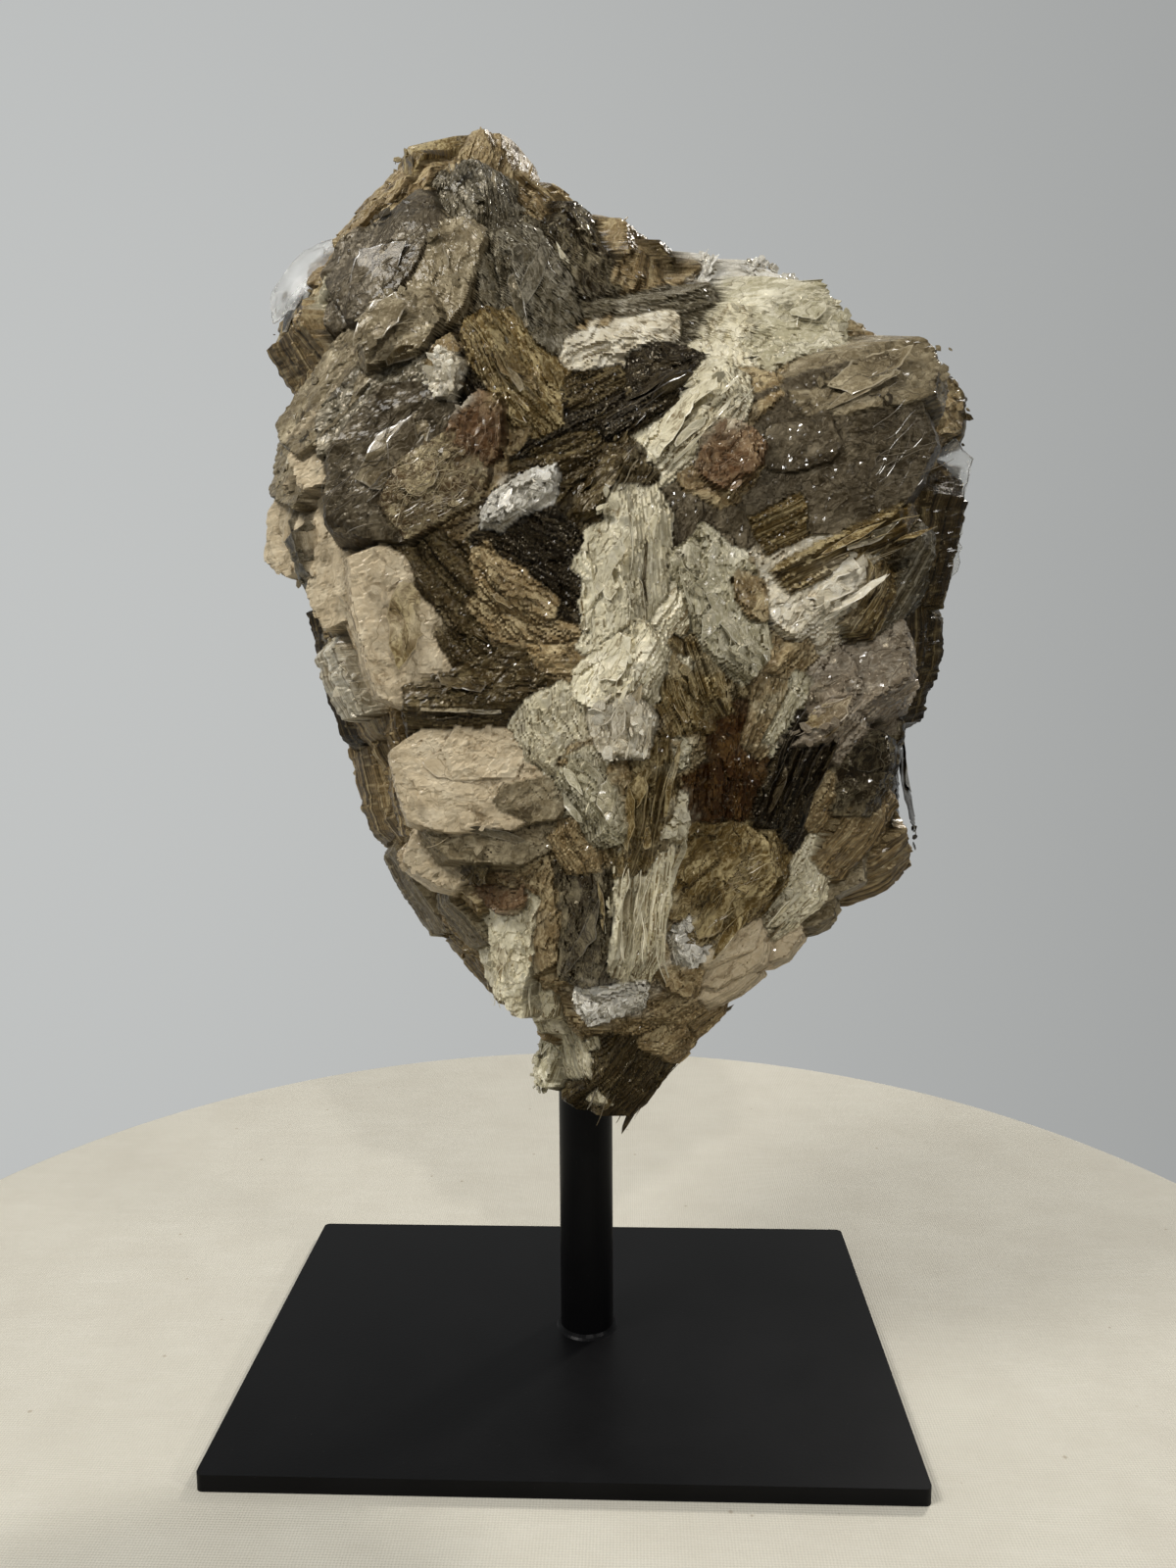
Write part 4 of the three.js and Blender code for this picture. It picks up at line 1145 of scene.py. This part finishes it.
def levelled(height, way):
    """The front drawn together: each height is moved to FLUSH of its distance from the mean round it, weighted by
    exp(-d^2 / 2s^2) with s = SOFT steps, fully at the front and back and less at the sides."""
    rows, columns = height.shape
    up = np.arange(rows)[:, None] - np.arange(rows)[None]
    round_it = np.arange(columns)[:, None] - np.arange(columns)[None]
    round_it = np.minimum(np.abs(round_it), columns - np.abs(round_it))
    up, round_it = (np.exp(-0.5 * (apart / SOFT) ** 2) for apart in (up, round_it))
    mean = (up / up.sum(1, keepdims=True)) @ height @ (round_it / round_it.sum(0, keepdims=True))
    square_on = np.clip(1.6 * np.abs(way[..., 1]) - 0.4, 0.25, 1)
    return height + square_on * (FLUSH - 1) * (height - mean)


def flaked(u, v, w, seed, edge_on):
    """The small relief of cleaved and broken sheets in sheet coordinates. Blocks of two sizes, laid like bricks
    between wavering sheets, stand out by chance and lean a little; the sheets end in steps. Returns the relief,
    a tone and how near a rim with a painted highlight each point is; a third of the blocks have such a rim."""
    su = u + 2.4 * ripple(v, 2 * w, seed + 1, 10.0, 3)
    sv = v + 1.8 * ripple(u, 2 * w, seed + 2, 9.0, 3)
    sw = w + (0.4 + 0.3 * edge_on) * ripple(u, v, seed + 5, 24.0, 2)
    stairs = sw / 0.8 + 0.8 * ripple(u, v, seed + 9, 9.0, 3)
    relief = (1 - edge_on) * 0.5 * (np.floor(stairs) + 0.5 - stairs)
    tone, rim = 0.0, 0.0
    for size, long, wide, deep, step, lean in ((1, 19.0, 7.0, 1.4, 0.6, 0.05), (2, 13.0, 1.7, 0.5, 0.22, 0.05)):
        level = sw / deep
        sheet = np.floor(level)
        across = sv / wide + 5 * mix_up(sheet, 1, 1, seed + size)
        row = np.floor(across)
        along = su / long + 5 * mix_up(sheet, row, 2, seed + size)
        block = np.floor(along)
        lot = mix_up(sheet, row, block, seed + size)
        lean_u, lean_v = mix_up(block, sheet, row, seed + 3) - 0.5, mix_up(row, block, sheet, seed + 4) - 0.5
        relief = relief + (step + 0.5 * step * edge_on) * (lot - 0.5)
        relief = relief + lean * (lean_u * (along - block - 0.5) * long + lean_v * (across - row - 0.5) * wide)
        tone = tone + (0.5 + 0.4 * edge_on) / size * (mix_up(block, row, sheet, seed + 6) - 0.5)
        near = np.minimum((across - row) * wide, (along - block) * long)
        near = np.where(edge_on > 0.4, 9.0, near) if size == 1 else np.minimum(near, 9.0)
        # A third of the blocks get a painted highlight along their rims.
        painted_glint_block = mix_up(row, sheet, block, seed + 7) > 0.66
        rim = np.maximum(rim, np.clip(1 - near / 0.4, 0, 1) * painted_glint_block)
    return relief, tone, rim


def add_mass(books):
    """The grown-together mass of all the books as one closed surface, with the relief of its sheets, cut into
    bands by height that are each closed by a cap inside."""
    start, way, reach = mass_rays()
    height, owner = grown_together(books, start, way, reach)
    height = levelled(height, way)
    rows, columns = owner.shape
    point = start + height[..., None] * way
    middle = np.array([book.middle for book in books])[owner]
    axes = np.array([book.axes for book in books])[owner]
    seed = np.array([book.seed for book in books])[owner]
    edge_on = np.array([book.edge_on for book in books])[owner]
    tints = np.array([book.tint for book in books])[owner]
    crumble = np.array([CRUMBLE.get(book.finish, 0.9) for book in books])[owner]
    finish = np.array([FINISH_NAMES.index(book.finish) for book in books])[owner]
    local = np.einsum("rcij,rcj->rci", axes, point - middle)
    # rim: how near each point is to a block rim with a painted highlight.
    relief, tone, rim = flaked(local[..., 0], local[..., 1], local[..., 2], seed, edge_on)
    ends = np.clip(np.minimum(np.arange(rows), np.arange(rows)[::-1]) / 12.0, 0, 1)[:, None]
    point = point + (relief * crumble * ends)[..., None] * way
    local = np.einsum("rcij,rcj->rci", axes, point - middle) + 90 * chance(seed[..., None], np.arange(80, 83))
    across, up = np.roll(point, -1, 1) - point, np.roll(point, -1, 0) - point
    normal = np.cross(across, up)
    normal /= np.linalg.norm(normal, axis=-1, keepdims=True) + 1e-9
    shows_face = np.abs(np.sum(normal * axes[:, :, 2], -1)) > 0.5
    made = []
    for band in range(MASS_BANDS):
        first, last = band * (rows - 1) // MASS_BANDS, (band + 1) * (rows - 1) // MASS_BANDS + 1
        part = slice(first, last)
        skins = Skins()
        face, edge = skins.look("tan", True), skins.look("tan", False)
        low, high = point[first].mean(0), point[last - 1].mean(0)
        looks = np.where(shows_face[first:last - 1], face, edge).ravel()
        skins.rings(
            point[part], np.array([low, high]), local[part], local[[first, last - 1], 0], np.full(last - first, 0.5),
            np.zeros(last - first - 1, int), (face, face), np.zeros(last - first - 1, int), "tan",
        )
        skins.tri_looks = [np.tile([face, 0], (2 * columns, 1))]
        skins.quad_looks = [np.stack([looks, np.zeros(len(looks), int)], -1)]
        tint = np.clip(tints[part] + tone[part], 0, 1).ravel()
        skins.tint = [tint, tint[:2]]
        skins.finish = [finish[part].ravel(), finish[[first, last - 1], 0]]
        skins.rim = [rim[part].ravel(), np.zeros(2)]
        made.append(skins)
    return made


def make_specimen():
    """The loose sheets of each zone of named books are a piece of their own, and those of the sides and back are
    six more by height. The grown-together mass of all the books but the clear ones is cut into bands."""
    materials = {
        "face": mica_face("mica_face"), "edge": mica_edge("mica_sheet_edges"), "rim": sheet_rim_highlight("mica_sheet_rims_painted_highlight"),
        "clear": clear_sheet("clear_mica"),
    }
    named = {zone: [front_book(*row) for row in rows] for zone, rows in BOOKS.items()}
    rear = [rear_book(index) for index in range(REAR_COUNT)]
    books = [book for rows in named.values() for book in rows] + rear
    for number, zone in enumerate(named):
        skins, rng = Skins(), np.random.default_rng(40 + number)
        for book in named[zone]:
            dress(skins, book, rng)
        make_piece(f"mica_{zone}", skins, materials, books)
    for part in range(REAR_PIECES):
        skins, rng = Skins(), np.random.default_rng(80 + part)
        for book in rear[part * REAR_COUNT // REAR_PIECES:(part + 1) * REAR_COUNT // REAR_PIECES]:
            dress(skins, book, rng, 0.5)
        make_piece(f"mica_rear_{part + 1}", skins, materials, books)
    solid = [book for book in books + filling_books() if book.finish != "clear"]
    for band, skins in enumerate(add_mass(solid)):
        make_piece(f"mica_mass_{band + 1}", skins, materials, books)


def finish_stand():
    """The metal pieces keep their solids and take the powder coat."""
    coat = black_coat("black_powder_coat", 0.42)
    seam = black_coat("black_coat_over_weld", 0.32)
    for node, material in (("base_plate", coat), ("post", coat), ("weld_seam", seam)):
        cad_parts[node].data.materials.clear()
        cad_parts[node].data.materials.append(material)


# ---------------------------------------------------------------- table, lights and camera

TABLE_RADIUS = 180
TABLE_THICK = 14


def make_table():
    """A round canvas-covered table top under the plate: a lathe of its rounded rim."""
    turn = np.linspace(0, TURN, 181)[:-1]
    profile = [(TABLE_RADIUS - 4, -TABLE_THICK), (TABLE_RADIUS, -TABLE_THICK + 4), (TABLE_RADIUS, -3),
               (TABLE_RADIUS - 1, -0.8), (TABLE_RADIUS - 3, 0)]
    rings = np.array([[(r * np.cos(t), r * np.sin(t), z) for t in turn] for r, z in profile])
    skins = Skins()
    poles = np.array([[0, 0, -TABLE_THICK], [0, 0, 0.0]])
    look = skins.look("tan", True)
    skins.rings(rings, poles, rings, poles, np.full(5, 0.5), np.full(4, look), (look, look), np.ones(4, int), "tan")
    mesh = bpy.data.meshes.new("table_top")
    faces = [list(map(int, face)) for block in skins.quads + skins.tris for face in block]
    mesh.from_pydata((np.concatenate(skins.points) * MM).tolist(), [], faces)
    mesh.materials.append(canvas("canvas"))
    table = bpy.data.objects.new("table_top", mesh)
    bpy.context.scene.collection.objects.link(table)


def area_light(name, at, towards, size, power, tone):
    """A square soft light, in metres, looking from one point towards another."""
    data = bpy.data.lights.new(name, "AREA")
    data.size, data.energy, data.color = size, power, tone
    light = bpy.data.objects.new(name, data)
    light.location = at
    light.rotation_euler = (Vector(towards) - Vector(at)).to_track_quat("-Z", "Y").to_euler()
    bpy.context.scene.collection.objects.link(light)


def light_the_room():
    """A pale room that is brighter on the left and behind than on the right and in front, a soft window light
    high on the left, and three small lights that make the sheets glint."""
    world = bpy.data.worlds.new("pale_room")
    world.use_nodes = True
    tree = world.node_tree
    heading = tree.nodes.new("ShaderNodeTexCoord").outputs["Generated"]
    parts = tree.nodes.new("ShaderNodeSeparateXYZ")
    tree.links.new(heading, parts.inputs[0])
    aside = tree.nodes.new("ShaderNodeMapRange")
    behind = tree.nodes.new("ShaderNodeMapRange")
    for node, output, low, high in ((aside, 0, 1.5, 0.6), (behind, 1, 0.22, 1.05)):
        tree.links.new(parts.outputs[output], node.inputs["Value"])
        node.inputs["From Min"].default_value, node.inputs["From Max"].default_value = -1, 1
        node.inputs["To Min"].default_value, node.inputs["To Max"].default_value = low, high
    strength = tree.nodes.new("ShaderNodeMath")
    strength.operation = "MULTIPLY"
    tree.links.new(aside.outputs[0], strength.inputs[0])
    tree.links.new(behind.outputs[0], strength.inputs[1])
    sky = tree.nodes["Background"]
    sky.inputs["Color"].default_value = (0.425, 0.435, 0.432, 1)
    tree.links.new(strength.outputs[0], sky.inputs["Strength"])
    bpy.context.scene.world = world
    area_light("window", (-0.36, -0.26, 0.62), (0, 0, 0.1), 0.18, 2.5, (1.0, 0.98, 0.94))
    area_light("back_glint", (0.36, 0.4, 0.6), (0.02, 0, 0.2), 0.08, 2.6, (1.0, 0.96, 0.9))
    area_light("front_glint", (0.16, -0.6, 0.6), (0, 0, 0.15), 0.03, 1.2, (1.0, 0.98, 0.95))
    area_light("side_glint", (0.5, -0.3, 0.3), (0, 0, 0.15), 0.05, 0.6, (1.0, 0.98, 0.95))


# The camera stands in front, a little above the middle of the specimen, turned left and tipped down.
CAMERA_AT = (0.0125, -0.2305, 0.1464)
CAMERA_YAW, CAMERA_PITCH, CAMERA_ROLL = np.radians([2.11, 6.90, -0.36])
CAMERA_LENS = 27.05


def place_camera():
    ahead = Vector((-np.sin(CAMERA_YAW) * np.cos(CAMERA_PITCH), np.cos(CAMERA_YAW) * np.cos(CAMERA_PITCH),
                    -np.sin(CAMERA_PITCH)))
    level = Vector((np.cos(CAMERA_YAW), np.sin(CAMERA_YAW), 0))
    upward = level.cross(ahead)
    right = level * np.cos(CAMERA_ROLL) + upward * np.sin(CAMERA_ROLL)
    above = upward * np.cos(CAMERA_ROLL) - level * np.sin(CAMERA_ROLL)
    data = bpy.data.cameras.new("camera")
    data.lens, data.sensor_width, data.clip_start = CAMERA_LENS, 36, 0.01
    camera = bpy.data.objects.new("camera", data)
    camera.matrix_world = Matrix.LocRotScale(
        Vector(CAMERA_AT), Matrix((right, above, -ahead)).transposed().to_quaternion(), None)
    bpy.context.scene.collection.objects.link(camera)
    bpy.context.scene.camera = camera


place_camera()
make_specimen()
finish_stand()
make_table()
light_the_room()
bpy.context.scene.view_settings.view_transform = "Standard"
